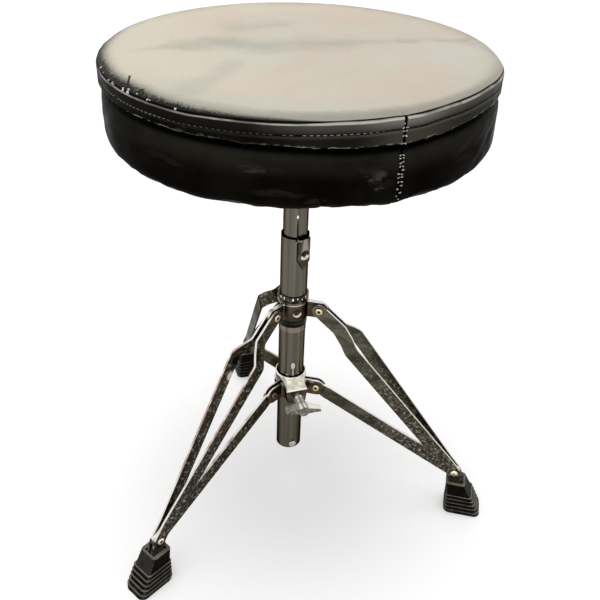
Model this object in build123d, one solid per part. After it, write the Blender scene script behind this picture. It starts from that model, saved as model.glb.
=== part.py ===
from build123d import *
import os
from math import asin, atan2, cos, degrees, hypot, isclose, pi, radians, sin, sqrt, tan

# A round drum throne on a folding three-legged stand.  Millimetres.
# Origin: on the floor under the column's axis.  +Z is up, the collar's wing bolt points along -Y,
# and the legs stand at 120 degrees round the column.

# ---------------------------------------------------------------- driving dimensions
# Legs round the column, as degrees from +X
LEG_NAMES = ("right", "back", "left")
SECTOR_NAMES = ("rear_right", "rear_left", "front")
FIRST_LEG_AZIMUTH = -30.0
LEG_STEP = 360.0 / len(LEG_NAMES)
FRONT_AZIMUTH = FIRST_LEG_AZIMUTH - LEG_STEP / 2

# Pivots of each leg's linkage: distance from the column's axis, height above the floor
LEG_PIVOT_R, LEG_PIVOT_Z = 25.8, 225.0
COLLAR_PIVOT_R, COLLAR_PIVOT_Z = 26.8, 131.9
FOOT_PIVOT_R, FOOT_PIVOT_Z = 176.5, 48.8

# Outer tube, fixed to the upper bracket
TUBE_R = 12.7
TUBE_WALL = 1.5
TUBE_BOTTOM_Z = 52.0
TUBE_RIM_Z = 303.0
BEAD_HEIGHT = 7.5
BEAD_RISE = 0.3

# Nut pocket pressed out of the tube's rim, with a square nut for the height clamp
POCKET_AZIMUTH = -72.0
POCKET_AXIS_DEPTH = 15.7
POCKET_LENGTH = 34.0
POCKET_SHOULDER = 21.5
POCKET_SHEET = 1.0
POCKET_HOLE_R = 3.7
POCKET_EDGE_R = 1.6
POCKET_OVERLAP = 0.2
CLAMP_NUT_WIDTH = 10.0
CLAMP_NUT_THICKNESS = 3.2
CLAMP_NUT_HOLE_R = 2.5
NUT_PLAY = 0.1

# Seat post, which slides in the tube
POST_PLAY = 0.1
POST_END_GAP = 0.2
POST_WALL = 1.5
PLUG_FLANGE = 2.0
PLUG_LENGTH = 14.0
GROOVE_DEPTH = 0.8
GROOVE_MARGIN = 0.6

# Stop screw across the foot of the tube
STOP_HEIGHT = 6.0
STOP_R = 2.0
STOP_HEAD_R = 3.6
STOP_HEAD_HEIGHT = 2.4
STOP_HEAD_ROUND_R = 1.4
STOP_NUT_WIDTH = 7.0
STOP_NUT_HEIGHT = 3.2
STOP_HOLE_PLAY = 0.1

# Bracket sheet and its ears
BRACKET_SHEET = 1.5
BRACKET_HEIGHT = 17.5
EAR_SPLIT = 0.2
BEND_R = 2.0
DIMPLE_DEPTH = 1.05
DIMPLE_BALL_R = 10.0
SLIP = 0.05
LOCK_RING_HEIGHT = 8.4
LOCK_RING_WALL = 1.8
LOCK_RING_CHAMFER = 0.9
LOCK_RING_FLUTES = 20
LOCK_RING_FLUTE_R = 1.4
LOCK_RING_FLUTE_OUT = 0.5
LOCK_RING_FLUTE_HEIGHT = 5.4
NYLON_RING_HEIGHT = 8.0
NYLON_RING_WALL = 0.8

# Leg strips: two pressed flats to each leg
STRIP_WIDTH = 13.5
STRIP_SHEET = 2.0
STRIP_GAP = 0.3
KNEE_ALONG, KNEE_RISE = 38.4, 5.4
JOGGLE_START, JOGGLE_END = 27.0, 47.0
SPLAY_HALF = 15.3
PARALLEL_START = 214.0
STRIP_BEND_R = 7.0
TOE_ANGLE = 70.0

# Braces: one flat bar to each leg
BRACE_WIDTH = 14.2
BRACE_SHEET = 2.6
BRACE_NOSE_R = 5.5
BRACE_NOSE_LENGTH = 13.0

# Rivets
RIVET_R = 3.0
RIVET_HEAD_R = 3.7
RIVET_HEAD_HEIGHT = 1.4
RIVET_DOME_R = 1.2
RIVET_CUP_R = 1.4
RIVET_CUP_DEPTH = 0.9
RIVET_RUN = 0.06

# Sliding collar
COLLAR_PLAY = 0.15
SLEEVE_WALL = 1.5
SLEEVE_TOP = 17.1
FLANGE_HEIGHT = 1.7
FLANGE_RISE = 0.9
FLANGE_ROUND_R = 0.75
NOSE_REACH = 22.0
NOSE_HALF_WIDTH = 9.0
NOSE_TOP = 5.6
NOSE_WALL = 1.4
HOOD_HALF_WIDTH = 10.8
NUT_WIDTH = 13.0
NUT_THICKNESS = 6.0

# Wing bolt
BOLT_R = 3.9
BOLT_RUN = 0.1
BOLT_HOLE_PLAY = 0.4
BOLT_TIP_GAP = 0.3
SHOULDER_START, SHOULDER_R, SHOULDER_LENGTH = 27.5, 5.0, 3.0
HUB_LENGTH = 16.5
HUB_R, HUB_END_R = 4.4, 5.6
WING_SPAN = 34.0
WING_CHORD = 8.2
WING_ROOT, WING_ROOT_OUT = 6.4, 6.0
WING_HOLLOW = 0.6
WING_TIP_RISE = 1.0
WING_THICKNESS, WING_TIP_THICKNESS = 7.6, 2.8
WING_TILT = -7.0

# Rubber feet
FOOT_TOP_Z = 38.6
FOOT_BLOCK_Z = 24.0
FOOT_TOP_HALF, FOOT_BLOCK_HALF, FOOT_BASE_HALF = 10.3, 10.9, 13.0
FOOT_TOP_IN, FOOT_TOP_OUT = 6.8, 13.2
FOOT_BLOCK_IN, FOOT_BLOCK_OUT = 4.5, 21.2
FOOT_BASE_IN, FOOT_BASE_OUT = 4.2, 33.4
FOOT_CORNER_R, FOOT_BASE_CORNER_R = 3.0, 6.5
FOOT_RIBS = 5
FOOT_RIB_LIP = 1.3
FOOT_WALL = 2.4
SOCKET_HALF = 6.6
SOCKET_DEPTH = 3.2
SOCKET_PLAY = 0.1
SOCKET_CORNER_R = 1.0
TOE_DEPTH = 18.0

# Seat
SEAT_R = 151.5
SEAT_BOTTOM_Z = 397.6
SEAT_SIDE = 63.8
SEAT_DOME = 5.2
SEAT_ROUND_R = 14.0
HEM_WIDTH = 24.0
VINYL = 1.6
SIDE_PADDING = 11.5
BOARD_THICKNESS = 12.0
SOFT_GAP = 0.3
STAPLES = 24
STAPLE_INSET = 14.4
STAPLE_LENGTH, STAPLE_WIDTH, STAPLE_RISE = 9.0, 0.9, 0.6
PLATE_SIZE = 104.0
PLATE_SHEET = 2.5
PLATE_CORNER_R = 9.0
PLATE_SCREW_SPACING = 82.0
PLATE_SCREW_R, PLATE_SCREW_HEAD_R, PLATE_SCREW_HEAD = 2.4, 4.6, 2.2
PLATE_SCREW_ROUND_R = 1.3
SOCKET_TUBE_WALL = 2.6
SOCKET_TUBE_LENGTH = 38.0
RETAINER_DROP = 22.0
BOSS_R, BOSS_REACH = 7.0, 8.0
RETAINER_R = 3.9
RETAINER_GAP = 0.3
RETAINER_HEAD_WIDTH, RETAINER_HEAD_HEIGHT = 13.0, 5.3

# ---------------------------------------------------------------- sizes that follow
TUBE_BORE_R = TUBE_R - TUBE_WALL
POST_R = TUBE_BORE_R - POST_PLAY
POST_BORE_R = POST_R - POST_WALL
STOP_Z = TUBE_BOTTOM_Z + STOP_HEIGHT
POST_FOOT_Z = STOP_Z + STOP_R + POST_END_GAP
SEAT_SEAM_Z = SEAT_BOTTOM_Z + SEAT_SIDE
BOARD_R = SEAT_R - SIDE_PADDING
PLATE_Z = SEAT_BOTTOM_Z + VINYL + SOFT_GAP - PLATE_SHEET
POST_TOP_Z = PLATE_Z - POST_END_GAP / 2
BOARD_Z = PLATE_Z + PLATE_SHEET
RETAINER_Z = PLATE_Z - RETAINER_DROP
EAR_INNER = EAR_SPLIT / 2
EAR_OUTER = EAR_INNER + BRACKET_SHEET
STRIP_AT_LEG_PIVOT = EAR_OUTER + STRIP_GAP + STRIP_SHEET / 2
BRACE_HALF = BRACE_SHEET / 2
STRIP_AT_FOOT = BRACE_HALF + STRIP_GAP + STRIP_SHEET / 2
COLLAR_EAR_INNER = BRACE_HALF + STRIP_GAP
COLLAR_EAR_OUTER = COLLAR_EAR_INNER + BRACKET_SHEET
BRACKET_BOTTOM_Z = LEG_PIVOT_Z - BRACKET_HEIGHT / 2
SLEEVE_IN_R = TUBE_R + COLLAR_PLAY
SLEEVE_R = SLEEVE_IN_R + SLEEVE_WALL
FLANGE_TOP_Z = COLLAR_PIVOT_Z + SLEEVE_TOP
FLANGE_BOTTOM_Z = FLANGE_TOP_Z - FLANGE_HEIGHT
COLLAR_BOTTOM_Z = COLLAR_PIVOT_Z - BRACKET_HEIGHT / 2
POCKET_Z = TUBE_RIM_Z - POCKET_AXIS_DEPTH
POCKET_NUT_IN = POST_R + POST_PLAY * 2
POCKET_NUT_OUT = POCKET_NUT_IN + CLAMP_NUT_THICKNESS
POCKET_R = POCKET_NUT_OUT + POCKET_SHEET

# Leg geometry in a leg's own frame: X outwards, Y across, Z up
LEG_DX, LEG_DZ = FOOT_PIVOT_R - LEG_PIVOT_R, LEG_PIVOT_Z - FOOT_PIVOT_Z
LEG_LENGTH = hypot(LEG_DX, LEG_DZ)
LEG_DROP = degrees(atan2(LEG_DZ, LEG_DX))
LEG_PIVOT = (LEG_PIVOT_R, LEG_PIVOT_Z)
FOOT_PIVOT = (FOOT_PIVOT_R, FOOT_PIVOT_Z)
COLLAR_PIVOT = (COLLAR_PIVOT_R, COLLAR_PIVOT_Z)


# ---------------------------------------------------------------- helpers
def solid_of(shape):
    """The one solid of a shape, or its solids as a compound."""
    found = shape.solids()
    return found[0] if len(found) == 1 else Compound(children=list(found))


def write(name, shape):
    os.makedirs("parts", exist_ok=True)
    export_step(solid_of(shape), f"parts/{name}.step")


def turned(azimuth, shape):
    return Rot(0, 0, azimuth) * shape


def azimuth_of(leg):
    return FIRST_LEG_AZIMUTH + LEG_STEP * leg


def disc(r, low, high):
    """A plain disc on the Z axis between two heights."""
    return extrude(Pos(0, 0, low) * Circle(r), high - low)


def ring(inner_r, outer_r, low, high):
    """A plain tube along Z between two heights."""
    return extrude(Pos(0, 0, low) * (Circle(outer_r) - Circle(inner_r)), high - low)


def rod_y(r, x, z, low, high):
    """A round bar along Y in a leg's frame."""
    end = Plane(origin=(x, low, z), x_dir=(1, 0, 0), z_dir=(0, 1, 0)) * Circle(r)
    return extrude(end, high - low)


def rod_x(r, z, low, high):
    """A round bar along X at height z."""
    end = Plane(origin=(low, 0, z), x_dir=(0, 1, 0), z_dir=(1, 0, 0)) * Circle(r)
    return extrude(end, high - low)


def nut_x(width, hole_r, z, low, high, sides):
    """A square or hexagon nut along X, with a flat side down."""
    across = width / 2 / cos(pi / sides)
    outline = RegularPolygon(across, sides, rotation=180 / sides) - Circle(hole_r)
    return extrude(Plane(origin=(low, 0, z), x_dir=(0, 1, 0), z_dir=(1, 0, 0)) * outline, high - low)


def side_face(outline):
    """Stand a sketch drawn in (x, z) upright in a leg's frame."""
    return Plane.XZ * outline


def bar_outline(points, width):
    """A bar of one width along a line of points, round at each point."""
    shape = Sketch()
    for (x0, z0), (x1, z1) in zip(points, points[1:]):
        middle = Pos((x0 + x1) / 2, (z0 + z1) / 2) * Rot(0, 0, degrees(atan2(z1 - z0, x1 - x0)))
        shape += middle * Rectangle(hypot(x1 - x0, z1 - z0), width)
        shape += Pos(x0, z0) * Circle(width / 2)
    return shape


def top_rim(shape, wider_than):
    """The highest circular edge of a turned shape whose radius is over a limit."""
    rims = shape.edges().filter_by(GeomType.CIRCLE).filter_by(lambda e: e.radius > wider_than)
    return rims.sort_by(Axis.Z)[-1]


def rivet_head(x, z, face, side):
    """A domed head with a cupped middle, standing on the plane y = face, towards side."""
    low, high = sorted((face, face + side * RIVET_HEAD_HEIGHT))
    head = rod_y(RIVET_HEAD_R, x, z, low, high)
    rim = head.edges().filter_by(GeomType.CIRCLE).sort_by(Axis.Y)[-1 if side > 0 else 0]
    cup_floor = face + side * (RIVET_HEAD_HEIGHT - RIVET_CUP_DEPTH)
    cup_low, cup_high = sorted((cup_floor, face + side * (RIVET_HEAD_HEIGHT + 1)))
    return fillet(rim, RIVET_DOME_R) - rod_y(RIVET_CUP_R, x, z, cup_low, cup_high)


# ---------------------------------------------------------------- column
def pocket_outline(half_width, top, shoulder, tip):
    """A shield in (across, z): straight sides from the rim, then down to a point."""
    points = [(-half_width, top), (half_width, top), (half_width, shoulder), (0, tip)]
    return make_face(Polyline(*points, (-half_width, shoulder), close=True))


def pocket_bulge():
    shoulder_z = TUBE_RIM_Z - POCKET_SHOULDER
    tip_z = TUBE_RIM_Z - POCKET_LENGTH
    across = Plane(origin=(0, 0, 0), x_dir=(0, 1, 0), z_dir=(1, 0, 0))
    half = CLAMP_NUT_WIDTH / 2 + NUT_PLAY + POCKET_SHEET
    shield = extrude(across * pocket_outline(half, TUBE_RIM_Z, shoulder_z, tip_z), POCKET_R + 1)
    ramp = [(POCKET_R, TUBE_RIM_Z), (POCKET_R, shoulder_z), (TUBE_R - POCKET_OVERLAP, tip_z)]
    outline = make_face(Polyline((0, tip_z), (0, TUBE_RIM_Z), *ramp, close=True))
    bulge = shield & extrude(side_face(outline), half + 1, both=True)
    front = [e for e in bulge.edges() if isclose(e.center().X, POCKET_R)]
    return fillet([e for e in front if isclose(abs(e.center().Y), half)], POCKET_EDGE_R)


def outer_tube():
    body = disc(TUBE_R, TUBE_BOTTOM_Z, TUBE_RIM_Z)
    bead_top = BRACKET_BOTTOM_Z - NYLON_RING_HEIGHT
    body += ring(TUBE_R - TUBE_WALL / 2, TUBE_R + BEAD_RISE, bead_top - BEAD_HEIGHT, bead_top)
    body += turned(POCKET_AZIMUTH, pocket_bulge())
    body -= disc(TUBE_BORE_R, 0, TUBE_RIM_Z + 1)
    floor = POCKET_Z - CLAMP_NUT_WIDTH / 2 - NUT_PLAY
    cavity = Pos(POCKET_NUT_OUT / 2, 0, (floor + TUBE_RIM_Z + 1) / 2)
    cavity *= Box(POCKET_NUT_OUT, CLAMP_NUT_WIDTH + 2 * NUT_PLAY, TUBE_RIM_Z + 1 - floor)
    body -= turned(POCKET_AZIMUTH, cavity)
    body -= turned(POCKET_AZIMUTH, rod_x(POCKET_HOLE_R, POCKET_Z, 0, POCKET_R + 5))
    return body - turned(FRONT_AZIMUTH, rod_x(STOP_R + STOP_HOLE_PLAY, STOP_Z, -TUBE_R * 2, TUBE_R * 2))


def clamp_nut():
    nut = nut_x(CLAMP_NUT_WIDTH, CLAMP_NUT_HOLE_R, POCKET_Z, POCKET_NUT_IN, POCKET_NUT_OUT, 4)
    return turned(POCKET_AZIMUTH, nut)


def stop_screw():
    bar = rod_x(STOP_R, STOP_Z, -TUBE_R - STOP_NUT_HEIGHT - 1, TUBE_R)
    head = rod_x(STOP_HEAD_R, STOP_Z, TUBE_R, TUBE_R + STOP_HEAD_HEIGHT)
    rim = head.edges().filter_by(GeomType.CIRCLE).sort_by(Axis.X)[-1]
    return turned(FRONT_AZIMUTH, bar + fillet(rim, STOP_HEAD_ROUND_R))


def stop_nut():
    nut = nut_x(STOP_NUT_WIDTH, STOP_R, STOP_Z, -TUBE_R - STOP_NUT_HEIGHT, -TUBE_R, 6)
    return turned(FRONT_AZIMUTH, nut)


def locking_ring():
    """A crimped ring on top of the bracket, fluted round its upper edge."""
    low = BRACKET_BOTTOM_Z + BRACKET_HEIGHT
    inner, outer = TUBE_R + SLIP, TUBE_R + SLIP + LOCK_RING_WALL
    body = ring(inner, outer, low, low + LOCK_RING_HEIGHT)
    body = chamfer(top_rim(body, inner), LOCK_RING_CHAMFER)
    flute_z = low + LOCK_RING_HEIGHT - LOCK_RING_FLUTE_HEIGHT / 2
    flute = Pos(outer + LOCK_RING_FLUTE_OUT, 0, flute_z)
    flute *= Cylinder(LOCK_RING_FLUTE_R, LOCK_RING_FLUTE_HEIGHT)
    for i in range(LOCK_RING_FLUTES):
        body -= turned(360 / LOCK_RING_FLUTES * i, flute)
    return body


def nylon_ring():
    inner = TUBE_R + SLIP
    return ring(inner, inner + NYLON_RING_WALL, BRACKET_BOTTOM_Z - NYLON_RING_HEIGHT, BRACKET_BOTTOM_Z)


# ---------------------------------------------------------------- stamped sectors
def sector_plan(inner_r, outer_r, ear_in, ear_out, ear_end):
    """A sheet bent round the column between two legs, its ends turned out as ears.

    It is drawn for the sector that is centred on +X, between the legs at -60 and +60 degrees.
    """
    half = LEG_STEP / 2
    reach = ear_end * 2
    wedge = Circle(outer_r) - Circle(inner_r)
    for side in (-1, 1):
        beyond = Pos(0, side * (reach - ear_in)) * Rectangle(reach * 2, reach * 2)
        wedge -= Rot(0, 0, side * half) * beyond
    for side in (-1, 1):
        start = sqrt(inner_r ** 2 - ear_in ** 2)
        ear = Pos((start + ear_end) / 2, -side * (ear_in + ear_out) / 2)
        ear *= Rectangle(ear_end - start, ear_out - ear_in)
        wedge += Rot(0, 0, side * half) * ear
    corner = sqrt(outer_r ** 2 - ear_out ** 2)
    bends = []
    for side in (-1, 1):
        spot = (Rot(0, 0, side * half) * Pos(corner, -side * ear_out)).position
        bends.append(min(wedge.vertices(), key=lambda v: (Vector(*tuple(v)) - spot).length))
    return fillet(bends, BEND_R)


def sector(inner_r, pivot, ear_in):
    """One stamped sector with rounded ears bored for the rivets at pivot (x, z)."""
    x, z = pivot
    end_r = BRACKET_HEIGHT / 2
    plan = sector_plan(inner_r, inner_r + BRACKET_SHEET, ear_in, ear_in + BRACKET_SHEET, x + end_r + 1)
    sheet = extrude(Pos(0, 0, z - end_r) * plan, BRACKET_HEIGHT)
    keep = Pos(0, 0, z) * Cylinder(inner_r + BRACKET_SHEET + BEND_R, BRACKET_HEIGHT)
    for side in (-1, 1):
        profile = side_face(bar_outline([(x, z), (inner_r, z)], BRACKET_HEIGHT))
        keep += turned(side * LEG_STEP / 2, extrude(profile, BRACKET_HEIGHT, both=True))
    sheet &= keep
    for side in (-1, 1):
        sheet -= turned(side * LEG_STEP / 2, rod_y(RIVET_R, x, z, -BRACKET_HEIGHT, BRACKET_HEIGHT))
    return sheet


def bracket_sector():
    inner = TUBE_R + SLIP
    sheet = sector(inner, LEG_PIVOT, EAR_INNER)
    ball = Pos(inner + BRACKET_SHEET + DIMPLE_BALL_R - DIMPLE_DEPTH, 0, LEG_PIVOT_Z)
    return sheet - ball * Sphere(DIMPLE_BALL_R)


def collar_sector():
    return sector(SLEEVE_R, COLLAR_PIVOT, COLLAR_EAR_INNER)


def collar_front():
    """The sector that carries the clamp: a hood narrows from its top ring to a square nose."""
    z = COLLAR_PIVOT_Z
    nose_top_z = z + NOSE_TOP
    arc = Circle(SLEEVE_R + FLANGE_RISE) & Pos(SLEEVE_R, 0) * Rectangle(2 * SLEEVE_R, 4 * SLEEVE_R)
    wide = Pos(NOSE_REACH / 2, 0, nose_top_z) * Rectangle(NOSE_REACH, 2 * HOOD_HALF_WIDTH)
    narrow = Pos(NOSE_REACH / 2, 0, COLLAR_BOTTOM_Z) * Rectangle(NOSE_REACH, 2 * NOSE_HALF_WIDTH)
    hood = loft([wide.face(), Pos(0, 0, FLANGE_BOTTOM_Z) * arc.face()], ruled=True)
    nose = loft([narrow.face(), wide.face()], ruled=True)
    body = hood + nose
    body -= disc(SLEEVE_R, 0, FLANGE_TOP_Z)
    pocket_in, pocket_out = SLEEVE_R - 1, NOSE_REACH - NOSE_WALL
    pocket_top = z + NUT_WIDTH / 2 + NUT_PLAY
    pocket = Pos((pocket_in + pocket_out) / 2, 0, (COLLAR_BOTTOM_Z - 1 + pocket_top) / 2)
    pocket *= Box(pocket_out - pocket_in, NUT_WIDTH + 2 * NUT_PLAY, pocket_top - COLLAR_BOTTOM_Z + 1)
    body = collar_sector() + body - pocket
    return body - rod_x(BOLT_R + BOLT_HOLE_PLAY, z, TUBE_R, NOSE_REACH + 1)


def collar_sleeve():
    body = ring(SLEEVE_IN_R, SLEEVE_R, COLLAR_BOTTOM_Z, FLANGE_TOP_Z)
    flange = ring(SLEEVE_IN_R, SLEEVE_R + FLANGE_RISE, FLANGE_BOTTOM_Z, FLANGE_TOP_Z)
    body += fillet(top_rim(flange, SLEEVE_R), FLANGE_ROUND_R)
    hole = rod_x(BOLT_R + BOLT_HOLE_PLAY, COLLAR_PIVOT_Z, 0, SLEEVE_R + 1)
    return body - turned(FRONT_AZIMUTH, hole)


def collar_nut():
    low = SLEEVE_R + SLIP
    nut = nut_x(NUT_WIDTH, BOLT_R + BOLT_RUN, COLLAR_PIVOT_Z, low, low + NUT_THICKNESS, 4)
    return turned(FRONT_AZIMUTH, nut)


def wing_plan():
    """One wing in (x, y): it flares from the hub to a blunt tip, with a hollow front edge."""
    back = SHOULDER_START + SHOULDER_LENGTH
    front = back + HUB_LENGTH
    tip = WING_SPAN / 2
    rear_edge = Spline((back, 0), (back + WING_ROOT, WING_ROOT_OUT), (front - WING_CHORD, tip))
    tip_middle = (front - WING_CHORD / 2, tip + WING_TIP_RISE)
    tip_arc = ThreePointArc((front - WING_CHORD, tip), tip_middle, (front, tip))
    front_edge = Spline((front, tip), (front - WING_HOLLOW, tip / 2), (front, 0))
    return make_face(Curve() + [rear_edge, tip_arc, front_edge, Line((front, 0), (back, 0))])


def wing_taper():
    """A wedge seen along the bolt, thick at the hub and thin at the wing's tip."""
    tip = WING_SPAN / 2 + WING_TIP_RISE
    thick, thin = WING_THICKNESS / 2, WING_TIP_THICKNESS / 2
    wedge = Polyline((0, thick), (tip, thin), (tip, -thin), (0, -thick), close=True)
    return extrude(Plane.YZ * make_face(wedge), SHOULDER_START + SHOULDER_LENGTH + HUB_LENGTH)


def wing_bolt():
    z = COLLAR_PIVOT_Z
    back = SHOULDER_START + SHOULDER_LENGTH
    stud = rod_x(BOLT_R, z, TUBE_R + BOLT_TIP_GAP, SHOULDER_START + 1)
    shoulder = rod_x(SHOULDER_R, z, SHOULDER_START, back + 1)
    front = back + HUB_LENGTH
    hub_profile = Polyline((back, 0), (back, HUB_R), (front, HUB_END_R), (front, 0), close=True)
    hub = Pos(0, 0, z) * revolve(make_face(hub_profile), Axis.X)
    wing = extrude(wing_plan(), WING_THICKNESS, both=True) & wing_taper()
    wing += mirror(wing, Plane.XZ)
    wing = Pos(0, 0, z) * Rot(WING_TILT, 0, 0) * wing
    return turned(FRONT_AZIMUTH, stud + shoulder + hub + wing)


# ---------------------------------------------------------------- legs
def knee_point():
    """The knee lies above the straight line from the leg pivot to the foot pivot."""
    drop = radians(LEG_DROP)
    x = LEG_PIVOT_R + KNEE_ALONG * cos(drop) + KNEE_RISE * sin(drop)
    z = LEG_PIVOT_Z - KNEE_ALONG * sin(drop) + KNEE_RISE * cos(drop)
    return x, z


def toe_point(depth_z):
    run = (FOOT_PIVOT_Z - depth_z) / tan(radians(TOE_ANGLE))
    return FOOT_PIVOT_R + run, depth_z


def strip_side():
    """A strip's outline from the side: knee, shank and toe."""
    toe = toe_point(FOOT_TOP_Z - TOE_DEPTH)
    outline = bar_outline([LEG_PIVOT, knee_point(), FOOT_PIVOT, toe], STRIP_WIDTH)
    return side_face(outline)


def strip_ribbon():
    """A strip's edge view, looking down on the leg: a joggle outwards, then a long taper in."""
    drop = radians(LEG_DROP)
    view = Plane(origin=(LEG_PIVOT_R, 0, LEG_PIVOT_Z), x_dir=(cos(drop), 0, -sin(drop)),
                 z_dir=(sin(drop), 0, cos(drop)))
    stations = [(-STRIP_WIDTH, STRIP_AT_LEG_PIVOT), (JOGGLE_START, STRIP_AT_LEG_PIVOT),
                (JOGGLE_END, SPLAY_HALF), (PARALLEL_START, STRIP_AT_FOOT),
                (LEG_LENGTH + 2 * TOE_DEPTH, STRIP_AT_FOOT)]
    line = FilletPolyline(*stations, radius=STRIP_BEND_R)
    return extrude(view * trace(line, STRIP_SHEET), LEG_LENGTH / 2, both=True)


def leg_strip(side):
    """One strip in the leg's frame, on the +Y side or, mirrored, on the -Y side."""
    body = extrude(strip_side(), SPLAY_HALF * 2, both=True) & strip_ribbon()
    body -= rod_y(RIVET_R + RIVET_RUN, *LEG_PIVOT, 0, SPLAY_HALF * 2)
    body -= rod_y(RIVET_R, *FOOT_PIVOT, 0, SPLAY_HALF * 2)
    return body if side > 0 else mirror(body, Plane.XZ)


def through_rivet(pivot, face):
    """A rivet with a head on each side, clinching plates whose outer faces are at y = +-face."""
    x, z = pivot
    body = rod_y(RIVET_R, x, z, -face, face)
    return body + rivet_head(x, z, face, 1) + rivet_head(x, z, -face, -1)


def leg_rivet():
    return through_rivet(LEG_PIVOT, STRIP_AT_LEG_PIVOT + STRIP_SHEET / 2 + RIVET_RUN)


def foot_rivet():
    return through_rivet(FOOT_PIVOT, STRIP_AT_FOOT + STRIP_SHEET / 2)


def collar_half_rivets():
    """A short rivet in each ear of one fork: the brace's nose runs free between them."""
    x, z = COLLAR_PIVOT
    halves = []
    for side in (-1, 1):
        low, high = sorted((side * COLLAR_EAR_INNER, side * COLLAR_EAR_OUTER))
        halves.append(rod_y(RIVET_R, x, z, low, high) + rivet_head(x, z, side * COLLAR_EAR_OUTER, side))
    return halves


def brace():
    """A flat bar from the collar's fork to the foot rivet, narrowed to a nose in the fork."""
    (x0, z0), (x1, z1) = COLLAR_PIVOT, FOOT_PIVOT
    length = hypot(x1 - x0, z1 - z0)
    ux, uz = (x1 - x0) / length, (z1 - z0) / length
    shoulder = (x0 + ux * BRACE_NOSE_LENGTH, z0 + uz * BRACE_NOSE_LENGTH)
    nose = Pos(*COLLAR_PIVOT) * Circle(BRACE_NOSE_R) + Pos(*shoulder) * Circle(BRACE_WIDTH / 2)
    outline = make_hull(nose.edges()) + bar_outline([FOOT_PIVOT, shoulder], BRACE_WIDTH)
    body = extrude(side_face(outline), BRACE_HALF, both=True)
    body -= rod_y(RIVET_R + RIVET_RUN, *COLLAR_PIVOT, -BRACE_WIDTH, BRACE_WIDTH)
    return body - rod_y(RIVET_R + RIVET_RUN, *FOOT_PIVOT, -BRACE_WIDTH, BRACE_WIDTH)


# ---------------------------------------------------------------- feet
def foot_section(inward, outward, half, corner, z):
    """A rounded rectangle round the foot pivot at one height."""
    middle = FOOT_PIVOT_R + (outward - inward) / 2
    return (Pos(middle, 0, z) * RectangleRounded(inward + outward, 2 * half, corner)).face()


def foot_layer(share, z, lip):
    """The ribbed part's section, pinched in by lip: share 0 is under the block and 1 is the sole."""
    inward = FOOT_BLOCK_IN + (FOOT_BASE_IN - FOOT_BLOCK_IN) * share + FOOT_RIB_LIP / 2 - lip / 2
    outward = FOOT_BLOCK_OUT + (FOOT_BASE_OUT - FOOT_BLOCK_OUT) * share + FOOT_RIB_LIP - lip
    half = FOOT_BLOCK_HALF + (FOOT_BASE_HALF - FOOT_BLOCK_HALF) * share + FOOT_RIB_LIP - lip
    corner = FOOT_CORNER_R + (FOOT_BASE_CORNER_R - FOOT_CORNER_R) * share
    return foot_section(inward, outward, half, corner, z)


def rubber_foot():
    block_low = foot_section(FOOT_BLOCK_IN, FOOT_BLOCK_OUT, FOOT_BLOCK_HALF, FOOT_CORNER_R, FOOT_BLOCK_Z)
    block_top = foot_section(FOOT_TOP_IN, FOOT_TOP_OUT, FOOT_TOP_HALF, FOOT_CORNER_R, FOOT_TOP_Z)
    body = loft([block_low, block_top], ruled=True)
    for i in range(FOOT_RIBS):
        high, low = i / FOOT_RIBS, (i + 1) / FOOT_RIBS
        upper = foot_layer(high, FOOT_BLOCK_Z * (1 - high), 0)
        lower = foot_layer(low, FOOT_BLOCK_Z * (1 - low), FOOT_RIB_LIP)
        body += loft([lower, upper], ruled=True)
    mouth_in, mouth_out = FOOT_TOP_IN - FOOT_WALL, FOOT_TOP_OUT - FOOT_WALL
    mouth_top = foot_section(mouth_in, mouth_out, SOCKET_HALF, SOCKET_CORNER_R, FOOT_TOP_Z + 1)
    drift = SOCKET_DEPTH / tan(radians(TOE_ANGLE))
    floor_in, floor_out, floor_z = mouth_in - drift, mouth_out + drift, FOOT_TOP_Z - SOCKET_DEPTH
    mouth_low = foot_section(floor_in, floor_out, SOCKET_HALF, SOCKET_CORNER_R, floor_z)
    body -= loft([mouth_low, mouth_top], ruled=True)
    toe = bar_outline([FOOT_PIVOT, toe_point(FOOT_TOP_Z - TOE_DEPTH)], STRIP_WIDTH + 2 * SOCKET_PLAY)
    slot_half = STRIP_AT_FOOT + STRIP_SHEET / 2 + SOCKET_PLAY
    return body - extrude(side_face(toe), slot_half, both=True)


# ---------------------------------------------------------------- seat post and seat
def seat_post():
    """The post's tube, with a turned groove that the seat's retaining screw runs in."""
    tube = ring(POST_BORE_R, POST_R, POST_FOOT_Z + PLUG_FLANGE, POST_TOP_Z - PLUG_FLANGE)
    half = RETAINER_R + GROOVE_MARGIN
    return tube - ring(POST_R - GROOVE_DEPTH, POST_R + 1, RETAINER_Z - half, RETAINER_Z + half)


def post_plug(face_z, inside_z):
    """A plastic plug in one end of the post: its flange ends at face_z, its stem at inside_z."""
    up = 1 if inside_z > face_z else -1
    flange = Pos(0, 0, face_z + up * PLUG_FLANGE / 2) * Cylinder(POST_R, PLUG_FLANGE)
    stem = Pos(0, 0, (face_z + inside_z) / 2) * Cylinder(POST_BORE_R, abs(inside_z - face_z))
    return flange + stem


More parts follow.
